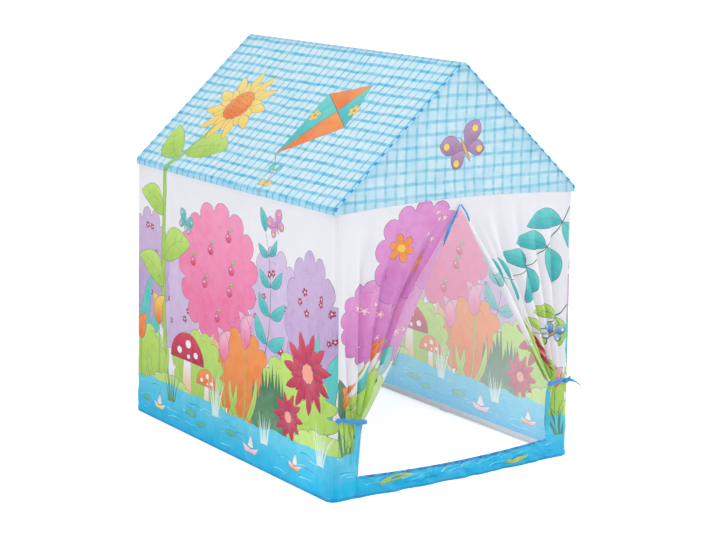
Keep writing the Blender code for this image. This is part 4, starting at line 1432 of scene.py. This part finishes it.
@cache
def cloth(kind):
    """Thin woven polyester, printed on its outside."""
    nodes = new_nodes(f"cloth_{kind}")
    white, dull = shades("f7f6f8", "f0f0f4")
    ground = check(nodes, *CHECKS[kind]) if kind in CHECKS else nodes.mix(nodes.noise(9.0, 2.0), white, dull)
    art = nodes.add("Attribute", attribute_type="GEOMETRY", attribute_name="print").outputs
    washed = nodes.ramp(nodes.noise(22.0, 4.0, distortion=0.6), 0.25, 0.8, 0.0, 0.07)
    ink = nodes.mix(washed, art["Color"], white)
    dense = nodes.ramp(nodes.noise(24.0, 4.0, distortion=1.2), 0.4, 0.72, 0.0, 0.24)
    colour = nodes.mix(art["Alpha"], ground, nodes.mix(dense, ink, ink, "MULTIPLY"))
    seam = nodes.add("Attribute", attribute_type="GEOMETRY", attribute_name="seam").outputs["Fac"]
    # Painted shade along the seams, where the cloth lies doubled and lets less light through; on the roof the
    # band is tinted a deeper blue. The same band also raises the seam's ridge.
    doubled_cloth_shade = nodes.ramp(seam, 0.0105, 0.0095)
    seam_shade_tint, share = (shades("54ccf0"), 0.38) if kind == "roof" else (shades("c8d8e6"), 0.07)
    colour = nodes.mix(nodes.times(doubled_cloth_shade, share), colour, seam_shade_tint, "MULTIPLY")
    u, v = nodes.flat()
    stitch = nodes.ramp(nodes.apart(seam, STITCH_LINE), 0.0006, 0.0003)
    stitch = nodes.times(stitch, nodes.math("GREATER_THAN", nodes.phase(nodes.plus(u, v), 0.0042), 0.3))
    colour = nodes.mix(nodes.times(stitch, 0.14), colour, np.array((0.85, 0.9, 0.96)))
    inner = nodes.add("NewGeometry").outputs["Backfacing"]
    colour = nodes.mix(nodes.times(inner, 0.3), colour, white)
    # Weave, crumples, creases and the ridge of a seam
    weave = nodes.bump(nodes.times(nodes.wave(u, WEAVE_PITCH), nodes.wave(v, WEAVE_PITCH)), 0.00003, 0.5)
    crumple = nodes.bump(nodes.noise(55.0, 5.0, distortion=0.8), 0.0014, 0.5, weave)
    warped = nodes.mix(0.08, nodes.object(), nodes.add("TexNoise").outputs["Color"])
    crease = nodes.add("TexVoronoi", {"Scale": 13.0, "Vector": warped}, feature="DISTANCE_TO_EDGE")
    sharp = nodes.bump(nodes.ramp(crease.outputs["Distance"], 0.0, 0.06), 0.0006, 0.35, crumple)
    ridge = nodes.bump(nodes.plus(doubled_cloth_shade, nodes.times(stitch, -0.5)), 0.0006, 0.5, sharp)
    rough = nodes.ramp(nodes.noise(30.0, 2.0), 0.3, 0.7, 0.56, 0.68)
    nodes.fill(nodes.shader, {
        "Base Color": colour, "Normal": ridge, "Roughness": rough,
        "Sheen Weight": 0.05, "Sheen Roughness": 0.4, "Specular IOR Level": 0.2,
    })
    through = nodes.add("BsdfTranslucent", {"Color": colour, "Normal": ridge})
    nodes.join("MixShader", nodes.shader, through, SOFT_SHARE)
    return nodes.owner


@cache
def rolled(kind):
    """Bindings, rolled hems and satin."""
    nodes = new_nodes(f"trim_{kind}")
    u, _ = nodes.flat()
    grain = nodes.noise(240.0)
    if kind == "binding":
        share, pair = nodes.ramp(nodes.noise(70.0), 0.35, 0.65), shades("0a5c8e", "289cde")
    elif kind == "satin":
        # Satin: painted sheen, streaks of lighter and darker blue.
        sheen_streak = nodes.add("Mapping", {"Scale": (1.0, 1.0, 9.0), "Vector": nodes.object()})
        share, pair = nodes.noise(160.0, 2.0, sheen_streak.outputs[0]), shades("0060b2", "0a9ce2")
    else:
        off = nodes.apart(nodes.phase(u, CHECK_PITCH), 0.5)
        share = nodes.ramp(nodes.plus(off, nodes.times(grain, 0.08)), 0.27, 0.17)
        pair = shades("96daf4", "007cc4") if kind == "rake" else shades("a8d0e6", "609ec8")
    thread = nodes.bump(nodes.wave(u, 0.0016), 0.00012, 0.6)
    nodes.fill(nodes.shader, {
        "Base Color": nodes.mix(share, *pair),
        "Normal": nodes.bump(grain, 0.0004, 0.4, thread),
        "Roughness": 0.32 if kind == "satin" else 0.6,
        "Sheen Weight": 0.12 if kind == "satin" else 0.06,
    })
    return nodes.owner


def plastic(name, pair, rough, scale):
    """Extruded or moulded plastic with faint marks."""
    nodes = new_nodes(name)
    nodes.fill(nodes.shader, {
        "Base Color": nodes.mix(nodes.noise(scale, 4.0), *pair),
        "Roughness": nodes.ramp(nodes.noise(scale * 2), 0.3, 0.7, rough - 0.06, rough + 0.08),
        "Normal": nodes.bump(nodes.noise(scale * 6), 0.0002, 0.4),
    })
    return nodes.owner


def dress_frame():
    """Better plastics for the poles and connectors of the frame."""
    pole = plastic("pole_plastic", shades("eceef0", "e0e3e7"), 0.36, 40)
    moulding = plastic("connector_plastic", shades("e2e5e9", "d6dae0"), 0.46, 60)
    for name, node in frame["nodes"].items():
        if any(word in name for word in ("connector", "rail", "post", "rafter", "ridge_pole")):
            for place in node.material_slots:
                place.material = moulding if "connector" in name else pole


# Camera, light and floor

CAMERA_PLACE = Vector((-2.71, -3.912, 1.407))
CAMERA_AZIMUTH, CAMERA_ELEVATION, CAMERA_ROLL = math.radians(-35.08), math.radians(11.49), math.radians(0.91)
FOCAL_PIXELS, IMAGE_WIDTH, SENSOR = 1856, 716, 36.0
AIM = Vector((0, 0, 0.45))  # the lamps point here
FLOOR_HALF = 80.0
LAMPS = (  # name, place, watts and size
    ("key", (-2.2, -2.6, 2.6), 62, 2.4),
    ("side", (-3.0, 0.9, 1.5), 24, 2.4),
    ("fill", (3.0, -1.4, 1.8), 84, 2.4),
    ("rear", (0.6, 3.0, 2.6), 34, 2.6),
)


def make_camera():
    data = bpy.data.cameras.new("camera")
    data.sensor_width = SENSOR
    data.lens = FOCAL_PIXELS * SENSOR / IMAGE_WIDTH
    camera = add_object("camera", data)
    camera.matrix_world = Matrix.Translation(CAMERA_PLACE)
    for angle, axis in ((CAMERA_AZIMUTH, "Z"), (math.pi / 2 - CAMERA_ELEVATION, "X"), (CAMERA_ROLL, "Z")):
        camera.matrix_world = camera.matrix_world @ Matrix.Rotation(angle, 4, axis)
    bpy.context.scene.camera = camera


def make_light():
    """A white background that lights the cloth more softly than it looks, and four lamps."""
    world = bpy.data.worlds.new("studio")
    bpy.context.scene.world = world
    nodes = Nodes(world, "Background", "World Output")
    nodes.fill(nodes.shader, {"Color": (0.99, 0.99, 1.0, 1), "Strength": 0.66})
    white = nodes.add("Background", {"Color": (1, 1, 1, 1), "Strength": 1.0})
    nodes.join("MixShader", nodes.shader, white, nodes.seen())
    for name, place, power, size in LAMPS:
        lamp = bpy.data.lights.new(name, "AREA")
        lamp.energy = power
        lamp.size = size
        thing = add_object(name, lamp)
        thing.location = place
        thing.rotation_euler = (AIM - Vector(place)).to_track_quat("-Z", "Y").to_euler()


def make_floor():
    """A floor that glows to the eye, so that it meets the white background without a line."""
    nodes = new_nodes("floor")
    nodes.fill(nodes.shader, {"Roughness": 0.7, "Base Color": (0.72, 0.72, 0.73, 1)})
    glow = nodes.add("Emission", {"Strength": nodes.times(nodes.seen(), 0.58)})
    nodes.join("AddShader", nodes.shader, glow)
    corners = [(x, y, 0) for x, y in rectangle(-FLOOR_HALF, FLOOR_HALF, -FLOOR_HALF, FLOOR_HALF)]
    floor, _ = add_mesh("floor", corners, [(0, 1, 2, 3)], nodes.owner)


def main():
    bpy.context.scene.view_settings.view_transform = "Standard"
    make_camera()
    make_light()
    make_floor()
    dress_frame()
    make_side_walls()
    make_back_wall()
    make_roofs()
    make_gables()
    gathers = {
        "left": make_front_half("left", -1, draw_front_left),
        "right": make_front_half("right", 1, draw_front_right),
    }
    make_sill()
    make_rakes()
    make_ridge_seam()
    make_slit_bindings(gathers)
    make_sill_binding()
    make_ribbons()


main()
